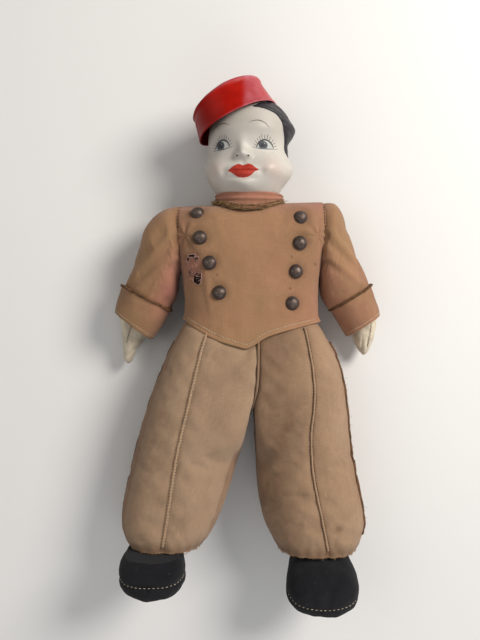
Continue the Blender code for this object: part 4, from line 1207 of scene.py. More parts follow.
def trouser_tint(side):
    def tint(point):
        x, y, z = point / MM
        pleat = abs(x - pleat_x(side, y))
        fade = 0.3 * max(fuzz((x, y * 0.6, z), 40, 9), 0) + (0.35 * (side < 0) + 0.15) * (z > 45)
        # Blotchy dirt, and darker along the pleat's crease as painted shade.
        soil = 0.3 * max(fuzz((x, y, z), 13, 31 + side), 0) + 0.6 * math.exp(-(pleat / 1.5) ** 2) * (z > 30)
        # Darker near the hem, and darker underneath near the floor as painted shade.
        soil += 0.5 * math.exp(-((y - HEM_LINE[side]) / 5) ** 2) + (0.4 if z < 5 else 0)
        if side > 0:
            # The left leg darkens towards its inside: painted shade between the legs, with dirt.
            inner = min(max((46 - x) / 34, 0), 1)
            soil += 0.48 * inner * inner * (3 - 2 * inner)
            soil += 0.7 * math.exp(-((x - 61) ** 2 + (y + 176) ** 2) / 7) + 0.2 * math.exp(-((y + 151) / 1.2) ** 2) * (
                abs(x - 31) < 9)
            # A darker middle on the left leg: dirt and painted shade.
            soil += 0.35 * math.exp(-(((x - 30) / 14) ** 2 + ((y + 105) / 20) ** 2))
        else:
            soil += 0.25 * math.exp(-(((x + 62) / 9) ** 2 + ((y + 120) / 30) ** 2))
            # The right leg's outer side darkens, more towards the top: painted shade on the side away from the light.
            soil += 0.50 * min(max((-x - 50 + 0.25 * (y + 60)) / 18, 0), 1)
        # Lighter along the pleat's crest, rubbed and painted highlight, and along the rubbed raw hem.
        wear_and_highlight = 0.5 * math.exp(-(pleat / 0.9) ** 2) * (z > 30) + 0.4 * math.exp(-((y - HEM_LINE[side]) / 1.4) ** 2)
        return fade, min(soil, 0.9), wear_and_highlight
    return tint


class DOLL_OT_trousers(DollStep, bpy.types.Operator):
    """Makes the stuffed trouser legs, their pinched pleats, side braid and raw hems"""

    bl_idname = "doll.trousers"
    bl_label = "Trousers"

    def make(self, context):
        for side in WORDS:
            self.leg(context.scene.doll_cloth, side)

    def leg(self, p, side):
        word = WORDS[side]
        shape = Profile(LEGS[side])
        top, hem = LEGS[side][0][0], HEM_LINE[side]
        columns, count = 150, 120
        rows = []
        for i in range(count + 1):
            y = top + (hem - top) * i / count
            round_leg = np.array([leg_point(side, shape, math.pi * j / 400, y) for j in range(800)])
            rows.append(evenly(round_leg, columns))
        rows = np.array(rows)
        normals = facing_out(rows)
        lift = np.array([[leg_relief(side, q, q[1]) for q in row] for row in rows])
        rows = rows + normals * lift[:, :, None] * np.clip(rows[:, :, 2:3] / 4, 0, 1)
        flat = rows.copy()
        held = np.abs(rows[:, :, 0] - np.array([pleat_x(side, row[0][1]) for row in rows])[:, None]) < 1.2
        held &= rows[:, :, 2] > 30
        held |= (rows[:, :, 2] < 8) | (np.abs(rows[:, :, 0] - 4.7) < 3.4) | (rows[:, :, 1] > -52)
        held |= rows[:, :, 1] < hem + 4
        rows = stuffed(rows * MM, held, spare=0.006, cap=0.9 * MM) / MM
        rows[:, :, 1] = np.where(held, flat[:, :, 1], rows[:, :, 1])
        for row in rows:
            for q in row:
                q[0], q[2] = tucked(*q)
        rows[:, :, 2] = np.maximum(rows[:, :, 2], 0.12)
        turned = []
        for shrink, back in ((0.985, 0.5), (0.955, 0.2), (0.93, -1.2), (0.86, -3.0), (0.5, -3.6), (0.02, -3.8)):
            middle = rows[-1].mean(axis=0)
            turned.append(middle + (rows[-1] - middle) * shrink - np.array((0, back, 0)))
        rows = np.concatenate([rows, np.array(turned)])
        gather = Gather().grid(rows * MM, wrap=True)
        dark = (count + 3) * columns
        gather.slots[dark:] = [1] * (len(gather.slots) - dark)
        leg = gather.build(
            f"{word}_trousers", [cloth_finish("trousers"), cloth_finish("black")], trouser_tint(side))
        surface = surface_of(leg)
        over = [leg, *self.pleat(p, side, surface), self.hem(side, rows[count] * MM),
                self.side_braid(side, shape, surface)]
        if side > 0:
            over += self.middle_seam(surface)
        names = {0: [f"{word}_trouser_leg"] + (["trouser_seat"] if side < 0 else []), 1: [f"{word}_front_pleat"],
                 4: [f"{word}_side_braid"]}
        for k, piece in enumerate(over):
            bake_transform(piece)
            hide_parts(*names.get(k, []))

    def pleat(self, p, side, surface):
        """A pinched fold down the front, and the running stitches that hold it."""
        rng = random.Random(60 + side)
        word = WORDS[side]
        fine = spaced([(x * MM, y * MM, 0) for x, y in PLEATS[side]], 0.9 * MM)
        line, ups = [], []
        for q in fine:
            place, normal = drop_on(surface, q.x, q.y, 0.35 * MM)
            line.append(place)
            ups.append(normal)
        widths = [(0.74 + 0.14 * fuzz(q * 1000, 3, side)) * MM for q in line]
        ridge = Gather().tube([tuple(q) for q in line], widths, 10, flat=1.45, up=ups)
        # The fold is faded and lightened all over by the third tint amount: rubbed cloth and painted highlight.
        fold = ridge.build(f"{word}_pleat_fold", cloth_finish("trousers"), lambda q: (0.5, 0.1, 0.5))
        sewn = Gather()
        spots = spaced([(x * MM, y * MM, 0) for x, y in PLEATS[side]], p.stitch * 1.35)
        for shift in (-0.95, 1.0):
            found = [drop_on(surface, q.x + shift * MM, q.y, 0.12 * MM) for q in spots]
            stitches(sewn, [f[0] for f in found], [f[1] for f in found], p.stitch * 0.7, 0.3 * MM, rng)
        thread_name = "cream_thread" if side < 0 else "dark_thread"
        return fold, sewn.build(f"{word}_pleat_stitches", cloth_finish(thread_name))

    def hem(self, side, ring):
        """Raw edge: short frayed threads, and one loose loop on the right leg."""
        rng = random.Random(80 + side)
        word = WORDS[side]
        middle = Vector(ring.mean(axis=0))
        frayed = Gather()
        starts = []
        for k in range(len(ring)):
            at = Vector(ring[k])
            if at.z < 0.003:
                continue
            out = (at - middle).normalized()
            for _ in range(2):
                start = at + (Vector(ring[(k + 1) % len(ring)]) - at) * rng.random() + out * 0.2 * MM
                starts.append((start, (Vector((0, -1, 0)) + out * rng.uniform(-0.4, 0.5)).normalized()))
        wisps(frayed, starts, 1.0 * MM, 0.10 * MM, rng)
        zig = [Vector(q) + (Vector(q) - middle).normalized() * 0.15 * MM
               + Vector((0, (0.6 if k % 2 else -0.2) * MM, 0)) for k, q in enumerate(ring)]
        frayed.tube([tuple(q) for q in zig], 0.2 * MM, 4, closed=True)
        if side < 0:
            start = Vector((-0.0470, -0.1925, 0.0500))
            loop = [start + Vector((6.0 * t - 3, -3.2 * math.sin(math.pi * t), -0.5 * t)) * MM
                    for t in np.linspace(0, 1, 14)]
            frayed.tube([tuple(q) for q in loop], 0.16 * MM, 5)
        return frayed.build(f"{word}_hem_fray", cloth_finish("tan_thread"))

    def middle_seam(self, surface):
        """The sewn join between the legs, below the tunic's point."""
        rng = random.Random(97)
        spots = spaced([(6.3 * MM, y * MM, 0) for y in (-47, -60, -80)], 1.9 * MM)
        found = [drop_on(surface, q.x, q.y, 0.05 * MM) for q in spots]
        sewn = Gather()
        stitches(sewn, [f[0] for f in found], [f[1] for f in found], 1.1 * MM, 0.2 * MM, rng)
        line, widths = [], []
        right, left = Profile(LEGS[-1]), Profile(LEGS[1])
        for y in np.linspace(-42, -92, 60):
            beside = drop_on(surface, 9.5 * MM, y * MM)[0]
            middle = (right(y)[1] + left(y)[1]) / 2
            line.append((middle * MM, y * MM, beside.z - (1.0 + 0.25 * max(-76 - y, 0)) * MM))
            widths.append((0.9 - 0.5 * max((-76 - y) / 16, 0)) * MM)
        fold = Gather().tube(line, widths, 12)
        fold = fold.build("middle_seam_fold", cloth_finish("trousers"), lambda q: (0.2, 0.35, 0))
        return [fold, sewn.build("middle_seam_stitches", cloth_finish("dark_thread"))]

    def side_braid(self, side, shape, surface):
        rng = random.Random(90 + side)
        line, ups = [], []
        for i in range(260):
            y = -44 + (-186 + 44) * i / 259
            level = (39.0 if side > 0 else 24.0) + 1.5 * fuzz((y, 3, side), 22, 6)
            spot = Vector((shape(y)[0] + side * 4, y, level)) * MM
            place, normal = near_on(surface, spot, 0.5 * MM, Vector((side, 0, 0)))
            line.append(place)
            ups.append(normal)
        cord = Gather()
        plaited(cord, line, ups, 4.2 * MM, 0.7 * MM, 4.4 * MM, rng)
        starts = [(line[k], Vector((side * 0.6, rng.uniform(-1, 1), rng.uniform(-0.5, 1))).normalized())
                  for k in range(0, 260, 5)]
        wisps(cord, starts, 2.2 * MM, 0.08 * MM, rng)
        return cord.build(f"{WORDS[side]}_braid", cloth_finish("gold"))


# Shoes, in millimetres: place from heel to toe, half width, rise of the upper, drop of the sole

SHOE = Profile([(0, 9.0, 7.0, 3.4), (4, 14.2, 12.0, 6.2), (12, 18.2, 17.4, 8.2), (24, 20.8, 21.8, 9.4),
                (36, 22.6, 23.6, 10.0), (44, 22.4, 22.6, 10.0), (50, 20.6, 19.4, 9.6), (54.4, 17.0, 14.0, 8.4),
                (57.0, 11.4, 8.0, 5.8), (58.0, 6.4, 3.6, 3.4), (58.4, 0.3, 0.2, 0.2)])
FEET = {-1: (-70.0, -201.0, 12.0, 15.0, 1.02), 1: (50.5, -201.2, 12.0, 33.0, 1.13)}


def shoe_seam(s):
    """How far the seam between upper and sole climbs towards the toe."""
    share = min(max((s - 24) / 30, 0), 1)
    return 4.5 * share * share * (3 - 2 * share)


class DOLL_OT_shoes(DollStep, bpy.types.Operator):
    """Makes the black cloth shoes: upper, padded sole and the stitching between them"""

    bl_idname = "doll.shoes"
    bl_label = "Shoes"

    def make(self, context):
        for side in WORDS:
            self.shoe(context.scene.doll_cloth, side)

    def shoe(self, p, side):
        word = WORDS[side]
        x, y, z, lean, width = FEET[side]
        angle = math.radians(lean)
        heel = np.array((x, y, z))
        toe = np.array((0, -math.sin(angle), math.cos(angle)))
        vamp = np.array((0, math.cos(angle), math.sin(angle)))
        made = {}
        for upper in (True, False):
            rows = []
            for i in range(56):
                s = 58.4 * (1 - (1 - i / 55) ** 2)
                half_width, rise, drop = SHOE(s)
                seam = shoe_seam(s)
                row = []
                for j in range(61):
                    c, sn = superellipse(math.pi * j / 60, 2.5)
                    puff = 1 + (0.02 if upper else 0.05) * sn
                    up = (rise - seam) * sn if upper else -(drop + seam) * sn
                    valley = min(1.1 * math.exp(-(up / 1.6) ** 2), half_width * 0.5) * (1 if i < 55 else 0)
                    row.append(heel + toe * s + np.array((1, 0, 0)) * (half_width * width * puff * c
                               - math.copysign(valley, c)) + vamp * (up + seam))
                rows.append(row)
            rows = np.array(rows)
            normals = facing_out(rows, wrap=False)
            relief = lumps(rows, 11, 1.5, 50 + side) + lumps(rows, 5, 0.45, 5)
            rows = rows + normals * relief[:, :, None] * np.sin(np.linspace(0, math.pi, 61))[None, :, None]
            limit = HEM_LINE[side] + 1.5 - 0.12 * np.abs(rows[:, :, 2] - 29)
            rows[:, :, 1] = np.minimum(rows[:, :, 1], limit)
            rows[:, :, 2] = np.maximum(rows[:, :, 2], 0.4)
            gather = Gather().grid(rows * MM)
            name = f"{word}_{'shoe_vamp' if upper else 'shoe_pad'}"
            made[upper] = gather.build(name, cloth_finish("black"))
        ankle = Gather()
        rows = []
        for i in range(14):
            t = i / 13
            row = []
            for j in range(60):
                a = 2 * math.pi * j / 60
                back = 1 - 0.10 * t
                row.append((x + 1.5 * side + 19.5 * back * math.cos(a), HEM_LINE[side] + 5 - 11 * t,
                            28.0 + 19.5 * back * math.sin(a)))
            rows.append(row)
        ankle.grid(np.array(rows) * MM, wrap=True, caps=True)
        made["ankle"] = ankle.build(f"{word}_shoe_ankle", cloth_finish("black"))
        sewn = Gather()
        rng = random.Random(70 + side)
        surface = surface_of(made[True], made[False])
        seam = []
        for t in np.linspace(0.14, 1, 60):
            s = 58.4 * (1 - (1 - t) ** 2)
            seam.append(heel + toe * s + vamp * shoe_seam(s) + np.array((-SHOE(s)[0] * width, 0, 0)))
        seam += [np.array((2 * x - q[0], q[1], q[2])) for q in seam[::-1]]
        found = []
        middle = Vector(heel + toe * 30) * MM
        for q in spaced([Vector(v) * MM for v in seam], p.stitch * 1.9):
            out = (q - middle).normalized()
            place, normal, _, _ = surface.ray_cast(middle + out * 0.06, -out)
            if place is not None and q.z > 0.02:
                found.append((place + out * 0.25 * MM, out))
        stitches(sewn, [f[0] for f in found], [f[1] for f in found], p.stitch * 0.8, 0.2 * MM, rng)
        made["thread"] = sewn.build(f"{word}_shoe_stitches", cloth_finish("cream_thread"))
        for key, piece in made.items():
            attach(piece, f"{word}_foot")
        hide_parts(f"{word}_shoe_upper")
        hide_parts(f"{word}_shoe_sole")


# Head, in millimetres about its own middle line: place along the doll, half width, back, front

HEAD = Profile([(57.0, 17.6, 11.0, 46.0), (59.2, 19.2, 9.8, 47.6), (61.0, 21.2, 8.4, 51.4), (64.0, 23.4, 6.6, 55.0),
                (67.0, 25.4, 4.4, 57.2), (71.0, 28.0, 2.8, 58.2), (76.0, 31.0, 1.6, 58.4), (80.0, 32.1, 0.8, 57.8),
                (85.0, 30.6, 0.6, 57.2), (90.0, 28.8, 0.4, 57.0), (97.0, 28.4, 0.2, 58.0), (106.0, 29.0, 0.3, 59.2),
                (112.0, 29.0, 0.8, 58.6), (118.0, 27.4, 2.0, 56.6), (124.0, 23.4, 5.2, 52.8), (129.0, 17.4, 10.0, 47.4),
                (133.0, 10.4, 16.4, 41.0), (135.2, 3.2, 24.6, 33.0)])
HEAD_X, HEAD_Z = -2.3, 29.5
FACE = [  # place across, place along, reach across, reach along, height
    (0, 65.4, 8.0, 4.4, 3.2), (0, 72.6, 12.0, 7.0, 1.5), (-20.0, 77.0, 9.0, 8.0, 3.3), (20.0, 77.0, 9.0, 8.0, 3.3),
    (0, 86.0, 3.9, 3.5, 4.8), (0, 90.2, 3.2, 4.6, 2.0), (0, 96.0, 4.0, 5.0, 0.6), (-4.4, 84.9, 2.1, 2.1, 2.1),
    (4.4, 84.9, 2.1, 2.1, 2.1), (-15.2, 93.4, 8.2, 5.2, -2.3), (15.2, 93.4, 8.2, 5.2, -2.3),
    (-15.2, 93.2, 5.4, 3.6, 2.0), (15.2, 93.2, 5.4, 3.6, 2.0), (-14.5, 105.0, 10.0, 4.0, 0.9),
    (14.5, 105.0, 10.0, 4.0, 0.9), (0, 80.4, 1.6, 2.4, -0.6), (0, 69.2, 8.0, 1.5, -1.3),
    (-13.2, 74.0, 2.6, 3.0, -1.1), (13.2, 74.0, 2.6, 3.0, -1.1), (0, 107.0, 16.0, 9.0, 1.2),
    (-5.2, 76.7, 4.0, 1.6, 0.9), (5.2, 76.7, 4.0, 1.6, 0.9), (0, 72.3, 6.0, 1.8, 1.4), (0, 74.6, 9.0, 0.5, -0.8),
]
UPPER_LIP = [(-10.9, 74.3), (-8.2, 76.3), (-5.2, 78.3), (-3.0, 79.0), (-1.2, 78.4), (0.2, 77.9), (1.6, 78.5),
             (3.8, 79.2), (6.0, 78.5), (8.6, 76.5), (11.0, 74.9)]
LOWER_LIP = [(8.6, 73.7), (6.4, 71.5), (3.6, 69.9), (0.4, 69.3), (-2.8, 69.7), (-6.0, 71.5), (-8.6, 73.3)]


HAT_TILT = math.radians(26.3)
HAT_UP = Vector((-math.sin(HAT_TILT), math.cos(HAT_TILT), 0))
HAT_FOOT = Vector((-8.9, 113.4, 31.8))


class HeadShape:
    """The head's surface, with its own middle line upright; place() turns it to how it lies."""

    def __init__(self, p):
        turn = Matrix.Rotation(-p.turn, 4, "Y") @ Matrix.Rotation(-p.tilt, 4, "Z")
        pivot = Vector((HEAD_X, 60, HEAD_Z))
        self.matrix = Matrix.Translation(pivot) @ turn @ Matrix.Translation(-pivot)

    def place(self, point):
        return self.matrix @ Vector(point)

    def point(self, angle, y, more=0.0):
        """angle is 0 at the front and grows towards the doll's left."""
        half_width, back, front = HEAD(y)
        c, s = math.sin(angle), math.cos(angle)
        power = 2.15
        c, s = math.copysign(abs(c) ** (2 / power), c), math.copysign(abs(s) ** (2 / power), s)
        middle, depth = (front + back) / 2, (front - back) / 2
        x = half_width * c
        z = middle + depth * s
        if s > 0:
            high = sum(h * math.exp(-((x - fx) / rx) ** 2 - ((y - fy) / ry) ** 2) for fx, fy, rx, ry, h in FACE)
            z += high * min(s * 2.2, 1)
            x += 0.28 * high * c * min(s * 2.2, 1)
        ear = math.exp(-((y - 86) / 6.0) ** 2) * math.exp(-((abs(angle) - 1.62) / 0.16) ** 2)
        x += math.copysign(1.9 * ear, c)
        x -= 1.4 * math.exp(-((y - 97) / 9) ** 2) + 0.8 * math.exp(-((y - 68) / 5) ** 2)
        return Vector((HEAD_X + x * (1 + more / half_width), y, HEAD_Z - 29.5 + z + more * s))

    def lying(self, angle, y, more=0.0):
        """The same point where it lies, kept above the floor."""
        q = self.place(self.point(angle, y, more))
        return Vector((q.x, q.y, max(q.z, 0.15)))


HAIR = Profile([(60, 3.3), (68, 2.9), (76, 2.5), (84, 2.1), (89, 1.82), (92, 1.50), (100, 1.37), (106, 1.17),
                (113, 0.97), (117.3, 0.71), (119.1, 0.39), (119.9, 0.1), (121, -0.5)])


def hair_edge(y, angle):
    """The angle from the middle of the face at which the hair starts; it starts further back on the right."""
    edge = HAIR(y)
    return edge if angle > 0 else max(edge + 0.55, 1.9 if y < 112 else 0)


class DOLL_OT_head(DollStep, bpy.types.Operator):
    """Makes the moulded head, its painted face and its moulded hair"""

    bl_idname = "doll.head"
    bl_label = "Head"

    def make(self, context):
        p = context.scene.doll_head
        shape = HeadShape(p)
        head = self.skin(p, shape)
        pieces = [head, self.hair(p, shape)] + self.paint(p, shape, surface_of(head))
        for piece in pieces:
            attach(piece, "head")
        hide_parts("head_shell")

    def skin(self, p, shape):
        columns, count = 300, 190
        rows = []
        for i in range(count + 1):
            t = i / count
            y = 57.0 + (135.2 - 57.0) * (0.5 - 0.5 * math.cos(math.pi * t)) ** 0.92
            rows.append([shape.lying(2 * math.pi * j / columns - math.pi, y) for j in range(columns)])
        rows = np.array(rows) * MM

        def tint(point):
            local = shape.matrix.inverted() @ (point / MM)
            x, y = local.x - HEAD_X, local.y
            front = 1 if local.z > 35 else 0
            rouge = 0.5 * front * sum(math.exp(-((x - s) / 6.5) ** 2 - ((y - 77) / 6) ** 2) for s in (-20.5, 20.5))
            # Painted shade: at the neck's edge, underneath, beside the nose, under the lower lip, on the forehead under
            # the hat, over the face's right side and above the eyes.
            grime_and_shade = 0.30 * math.exp(-((y - 58.5) / 2.0) ** 2) + 0.25 * (local.z < 8)
            grime_and_shade += 0.22 * front * sum(math.exp(-((x - s) / 1.6) ** 2 - ((y - 84) / 3.2) ** 2) for s in (-6.8, 6.8))
            grime_and_shade += 0.16 * front * math.exp(-(x / 7) ** 2 - ((y - 67.6) / 1.4) ** 2)
            grime_and_shade += 0.3 * front * math.exp(-((y - 108) / 8) ** 2) + 0.25 * front * min(max((-x - 15) / 12, 0), 1)
            grime_and_shade += 0.12 * front * sum(math.exp(-((x - s) / 6) ** 2 - ((y - 97) / 2) ** 2) for s in (-15, 15))
            return min(rouge, 1), min(grime_and_shade, 0.7), 0.0

        gather = Gather().grid(rows, wrap=True, caps=True)
        finish = look("white_face_paint", face_paint, p.skin, (0.16, 0.12, 0.08), p.blush)
        return gather.build("head", finish, tint)

    def hair(self, p, shape):
        """Moulded waves brushed back from the hairline, standing a little off the head."""
        columns, count = 260, 150
        rows = []
        for i in range(count + 1):
            y = 60.0 + (134.6 - 60.0) * i / count
            row = []
            for j in range(columns):
                angle = 2 * math.pi * j / columns - math.pi
                past = (abs(angle) - hair_edge(y, angle)) * 24
                swell = 2.6 / (1 + math.exp(-past * 1.5)) if past > -6 else 0.0
                lobe = 3.8 * math.exp(-((y - 109) / 8) ** 2) * math.exp(-((abs(angle) - 1.55) / 0.34) ** 2)
                waves = 0.42 * math.sin(y * 0.55 + abs(angle) * 7 + 1.5 * fuzz((y, angle * 20, 0), 14, 2))
                waves += 0.12 * math.sin(y * 1.9 + abs(angle) * 17)
                rise = -1.6 + swell + (lobe + waves) / (1 + math.exp(-past * 1.1))
                crown = (shape.place(shape.point(angle, y, rise)) - HAT_FOOT).dot(HAT_UP)
                rise -= (rise + 0.4) * min(max((crown - 0.5) / 2.5, 0), 1)
                row.append(shape.lying(angle, y, rise))
            rows.append(row)
        # The purple-grey second colour, spread over the hair by the third tint amount, is a painted sheen.
        finish = look("black_hair_paint", enamel, p.hair, (0.075, 0.065, 0.075), 0.45, 90.0, 0.6)
        gather = Gather().grid(np.array(rows) * MM, wrap=True, caps=True)
        hair = gather.build("moulded_hair", finish, lambda q: (0, 0, 0.35 + 0.4 * max(fuzz(q, 0.004, 3), 0)))
        return hair

    def paint(self, p, shape, surface):
        """Brows, lashes, eyes, nostrils and lips as thin paint over the modelled face."""
        ahead = (shape.matrix.to_3x3() @ Vector((0, 0, 1))).normalized()

        def on_face(x, y, lift):
            start = shape.place((HEAD_X + x, y, 90)) * MM
            found, normal, _, _ = surface.ray_cast(start, -ahead)
            if found is None:
                found, normal, _, _ = surface.find_nearest(shape.place((HEAD_X + x, y, 58)) * MM)
            normal = normal if normal.dot(ahead) > 0 else -normal
            return found + normal * lift * MM

        def stroke(gather, points, width, lift=0.10):
            fine = spaced([(x, y, 0) for x, y in points], 0.35)
            rows = []
            for k, q in enumerate(fine):
                t = k / (len(fine) - 1)
                side = (fine[min(k + 1, len(fine) - 1)] - fine[max(k - 1, 0)]).normalized().cross(Vector((0, 0, 1)))
                half = width * (max(math.sin(math.pi * min(max(t, 0.03), 0.97)), 0.12) ** 0.6) / 2
                rows.append([on_face(q.x + side.x * half * m, q.y + side.y * half * m, lift * (1 - 0.4 * abs(m)))
                             for m in (-1, -0.4, 0.4, 1)])
            gather.grid(rows)

        def patch(gather, outline, centre, lift=0.08, rings=8, bulge=0.0):
            rows = []
            for t in np.linspace(0.02, 1, rings):
                rows.append([on_face(centre[0] + (x - centre[0]) * t, centre[1] + (y - centre[1]) * t,
                                     lift + bulge * (1 - t * t)) for x, y in outline])
            gather.grid(rows, wrap=True)

        def round_line(points, step=0.5):
            return [(q.x, q.y) for q in spaced([(x, y, 0) for x, y in points], step)]

        lips, black, grey, white, brown, shadow = (Gather() for _ in range(6))
        outline = round_line(UPPER_LIP + LOWER_LIP + UPPER_LIP[:1])[:-1]
        patch(lips, outline, (0.0, 74.1), 0.06, 12, 0.25)
        # A dark line between the lips: painted shade.
        stroke(shadow, [(-9.2, 74.6), (-4.5, 75.0), (0.2, 74.4), (4.8, 75.1), (9.4, 74.9)], 0.36, 0.34)
        rng = random.Random(3)
        for side in (-1, 1):
            cx, low = 15.05 * side - 0.7, 90.9
            lid = [(cx - 5.7, low), (cx - 4.5, low + 3.1), (cx - 1.8, low + 5.6), (cx + 1.2, low + 6.1),
                   (cx + 4.2, low + 4.2), (cx + 5.9, low + 0.6)]
            floor = [(cx + 5.9, low + 0.6), (cx + 2.2, low + 0.1), (cx - 2.2, low - 0.1), (cx - 5.7, low)]
            eye = round_line(lid, 0.5) + round_line(floor, 0.5)[1:-1]
            patch(white, eye, (cx, low + 2.4), 0.05, 8, 0.15)
            gaze, level = cx - 1.1, low + 2.3
            iris = [(gaze + 2.9 * math.cos(a), max(level + 2.9 * math.sin(a), low + 0.2))
                    for a in np.linspace(0, 2 * math.pi, 40, endpoint=False)]
            patch(grey, iris, (gaze, level), 0.24, 7)
            pupil = [(gaze + 1.55 * math.cos(a), level + 1.55 * math.sin(a))
                     for a in np.linspace(0, 2 * math.pi, 30, endpoint=False)]
            patch(black, pupil, (gaze, level), 0.32, 5)
            glint = [(gaze + 0.8 + 0.28 * math.cos(a), level + 1.0 + 0.28 * math.sin(a))
                     for a in np.linspace(0, 2 * math.pi, 14, endpoint=False)]
            patch(white, glint, (gaze + 0.8, level + 1.0), 0.42, 3)
            stroke(black, lid, 0.95, 0.34)
            stroke(black, [(cx - 5.9, low - 0.1), (cx, low - 0.3), (cx + 6.0, low + 0.5)], 0.42, 0.34)
            arch = [(q.x, q.y) for q in spaced([(x, y, 0) for x, y in lid], 0.05)]
            for k in range(13):
                t = k / 12
                x, y = arch[int(t * (len(arch) - 1))]
                away = Vector((x - cx, (y - low + 0.5) * 1.1 + 1.2)).normalized()
                reach = (2.6 + 1.1 * math.sin(math.pi * t)) * rng.uniform(0.85, 1.1)
                curl = 0.35 * side * rng.uniform(0.2, 1)
                stroke(black, [(x + away.x * 0.2, y + away.y * 0.2),
                               (x + away.x * reach * 0.5 + curl * 0.3, y + away.y * reach * 0.5),
                               (x + away.x * reach + curl, y + away.y * reach)], 0.30, 0.12)
            brow = [(cx + out * side - 2.3, low + rise - 2.0 + 0.6 * side) for out, rise in
                    ((5.9, 15.0), (2.5, 18.3), (-1.5, 19.7), (-5.0, 19.2), (-8.4, 17.7))]
            stroke(brown, brow, 0.60, 0.12)
            nostril = [(3.9 * side + 0.8 * math.cos(a), 84.4 + 0.55 * math.sin(a))
                       for a in np.linspace(0, 2 * math.pi, 18, endpoint=False)]
            patch(brown, nostril, (3.9 * side, 84.4), 0.06, 3)
        looks = [(lips, "lip_paint", "painted_lips", p.lips, shaded(p.lips, 0.8)),
                 (black, "lash_paint", "painted_lashes", (0.02, 0.02, 0.025), (0.05, 0.05, 0.055)),
                 (grey, "iris_paint", "painted_irises", p.iris, shaded(p.iris, 0.55)),
                 (white, "eye_paint", "painted_eyes", (0.48, 0.48, 0.45), (0.40, 0.40, 0.38)),
                 (shadow, "lip_shadow", "painted_lip_shadow", shaded(p.lips, 0.45), shaded(p.lips, 0.6)),
                 (brown, "brow_paint", "painted_brows", (0.085, 0.06, 0.045), (0.15, 0.11, 0.085))]
        return [gather.build(piece, look(name, plain_paint, colour, other))
                for gather, name, piece, colour, other in looks]


class DOLL_OT_hat(DollStep, bpy.types.Operator):
    """Makes the moulded pillbox hat with its rolled top edge"""

    bl_idname = "doll.hat"
    bl_label = "Hat"

    def make(self, context):
        p = context.scene.doll_head
        foot, up, front = HAT_FOOT, HAT_UP, Vector((0, 0, 1))
        across = up.cross(front)
        profile = [(30.0, 0.5), (30.6, 0.0), (31.15, 0.35), (31.1, 1.4), (30.4, 4.5), (29.3, 12.0),
                   (28.3, 19.0), (28.1, 21.2), (28.35, 22.4), (28.4, 23.6), (27.9, 24.7), (27.0, 25.1), (25.6, 24.8),
                   (24.6, 24.3), (20.0, 24.2), (12.0, 24.5), (4.0, 24.6), (0.05, 24.6)]
        fine = Profile([(k, *q) for k, q in enumerate(profile)])
        rows = []
        for t in np.linspace(0, len(profile) - 1, 110):
            r, h = fine(t)
            row = []
            for j in range(160):
                a = 2 * math.pi * j / 160
                dent = 0.35 * fuzz((math.cos(a) * r, math.sin(a) * r, h * 0.8), 12, 4)
                high = h * 0.88 + 2.6 * math.sin(a) + max(-math.cos(a), 0) * (1.5 - 0.14 * h)
                behind = 4.0 * max(-math.sin(a), 0) ** 1.5 * max(1 - h / 20, 0) if r > 28 or h > 2 else 0
                q = foot + up * (high + behind + 0.25 * fuzz((math.cos(a) * 20, math.sin(a) * 20, 0), 9, 6)) + (
                    across * math.cos(a) + front * math.sin(a)) * max(r + dent, 0.02)
                row.append((q.x, q.y, max(q.z, 0.4)))
            rows.append(row)

        def tint(point):
            q = point / MM - foot
            r = max(math.hypot(q.dot(across), q.z), 0.1)
            h = (q.dot(up) - 2.6 * q.z / r) / 0.88
            # Lighter round the top and bottom rims: rubbed paint and painted highlight.
            wear_and_highlight = math.exp(-((h - 24.2) / 1.6) ** 2) * (r > 24) + 0.8 * math.exp(-(h / 1.0) ** 2)
            # Lighter over the doll's left side: painted sheen.
            wear_and_highlight += min(max((q.x + foot.x + 7) / 4, 0), 1) * (q.z > 2) * (r > 24)
            # Darker on the top with dirt, and down the doll's right side as painted shade.
            soil = 0.5 * (r < 24 and h > 20) + 0.75 * max(min((-q.dot(across) - 10) / 18, 1), 0)
            return 0.0, soil, wear_and_highlight

        finish = look("red_hat_enamel", enamel, p.hat, (0.43, 0.125, 0.15), 0.34, 60.0, 0.7, shine=0.12)
        hat = Gather().grid(np.array(rows) * MM, wrap=True).build("hat", finish, tint)
        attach(hat, "head")
        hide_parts("pillbox_hat")


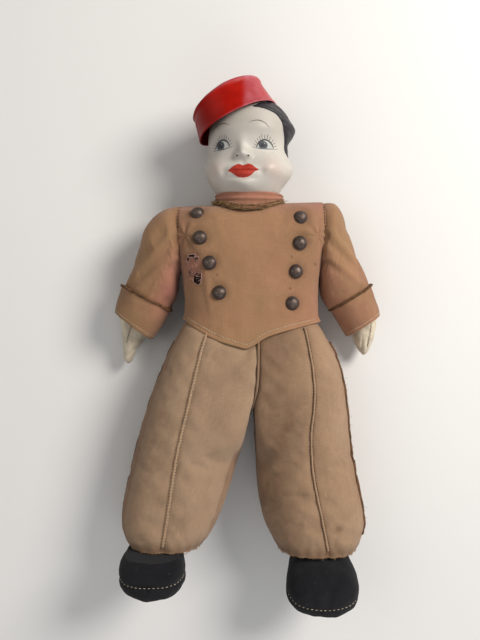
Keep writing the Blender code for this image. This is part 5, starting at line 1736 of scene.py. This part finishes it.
class DOLL_OT_stage(DollStep, bpy.types.Operator):
    """Lays the pale floor, hangs the soft lamps and sets the camera over the doll"""

    bl_idname = "doll.stage"
    bl_label = "Stage"

    def make(self, context):
        p = context.scene.doll_stage
        floor = Gather().grid([[(x, y, -0.0004) for x in (-3, 3)] for y in (-3, 3)])
        floor = floor.build("floor", look("pale_floor", pale_floor, p.floor))
        camera = bpy.data.objects.new("camera", bpy.data.cameras.new("camera"))
        context.scene.collection.objects.link(camera)
        camera.location = (p.aim_x, p.aim_y, p.height)
        camera.data.lens = p.lens
        camera.data.sensor_width = 36
        context.scene.camera = camera
        lamps = [("key", (0.72, 0.42, 0.70), 0.5, 12.5, (1.0, 0.96, 0.91)),
                 ("fill", (-0.8, 0.1, 0.8), 1.1, 2.6, (1.0, 0.93, 0.85)),
                 ("low", (0.2, -0.9, 0.6), 0.9, 2.6, (0.95, 0.97, 1.0))]
        for name, place, size, power, colour in lamps:
            lamp = bpy.data.objects.new(name, bpy.data.lights.new(name, "AREA"))
            context.scene.collection.objects.link(lamp)
            lamp.location = place
            lamp.data.shape, lamp.data.size = "DISK", size
            lamp.data.energy, lamp.data.color = power * p.light, colour
            lamp.rotation_euler = (Vector((0, -0.03, 0.02)) - lamp.location).to_track_quat("-Z", "Y").to_euler()
        world = bpy.data.worlds.new("studio")
        world.use_nodes = True
        world.node_tree.nodes["Background"].inputs[0].default_value = (0.85, 0.88, 0.92, 1)
        world.node_tree.nodes["Background"].inputs[1].default_value = 0.30 * p.light
        context.scene.world = world
        context.scene.view_settings.view_transform = "Standard"


class DOLL_OT_inner_pieces(DollStep, bpy.types.Operator):
    """Gives the hidden stuffed neck its calico"""

    bl_idname = "doll.inner_pieces"
    bl_label = "Inner pieces"

    def make(self, context):
        for slot in bpy.data.objects["neck_stump"].material_slots:
            slot.material = cloth_finish("cream")


STEPS = (DOLL_OT_stage, DOLL_OT_tunic, DOLL_OT_buttons, DOLL_OT_sleeves, DOLL_OT_hands, DOLL_OT_trousers,
         DOLL_OT_shoes, DOLL_OT_head, DOLL_OT_hat, DOLL_OT_inner_pieces)
GROUPS = {"doll_cloth": DollCloth, "doll_head": DollHead, "doll_stage": DollStage}


class DOLL_PT_panel(bpy.types.Panel):
    """Lists the doll's settings and the steps that make it"""

    bl_idname = "DOLL_PT_panel"
    bl_label = "Cloth Page-Boy Doll"
    bl_space_type = "VIEW_3D"
    bl_region_type = "UI"
    bl_category = "Doll"

    def draw(self, context):
        for name, group in GROUPS.items():
            box = self.layout.box()
            for key in group.__annotations__:
                box.prop(getattr(context.scene, name), key)
        for step in STEPS:
            self.layout.operator(step.bl_idname)


def register():
    for cls in (*GROUPS.values(), *STEPS, DOLL_PT_panel):
        bpy.utils.register_class(cls)
    for name, group in GROUPS.items():
        setattr(bpy.types.Scene, name, bpy.props.PointerProperty(type=group))


def unregister():
    for name in GROUPS:
        delattr(bpy.types.Scene, name)
    for cls in reversed((*GROUPS.values(), *STEPS, DOLL_PT_panel)):
        bpy.utils.unregister_class(cls)


def main():
    register()
    for step in STEPS:
        group, name = step.bl_idname.split(".")
        getattr(getattr(bpy.ops, group), name)()


if __name__ == "__main__":
    main()
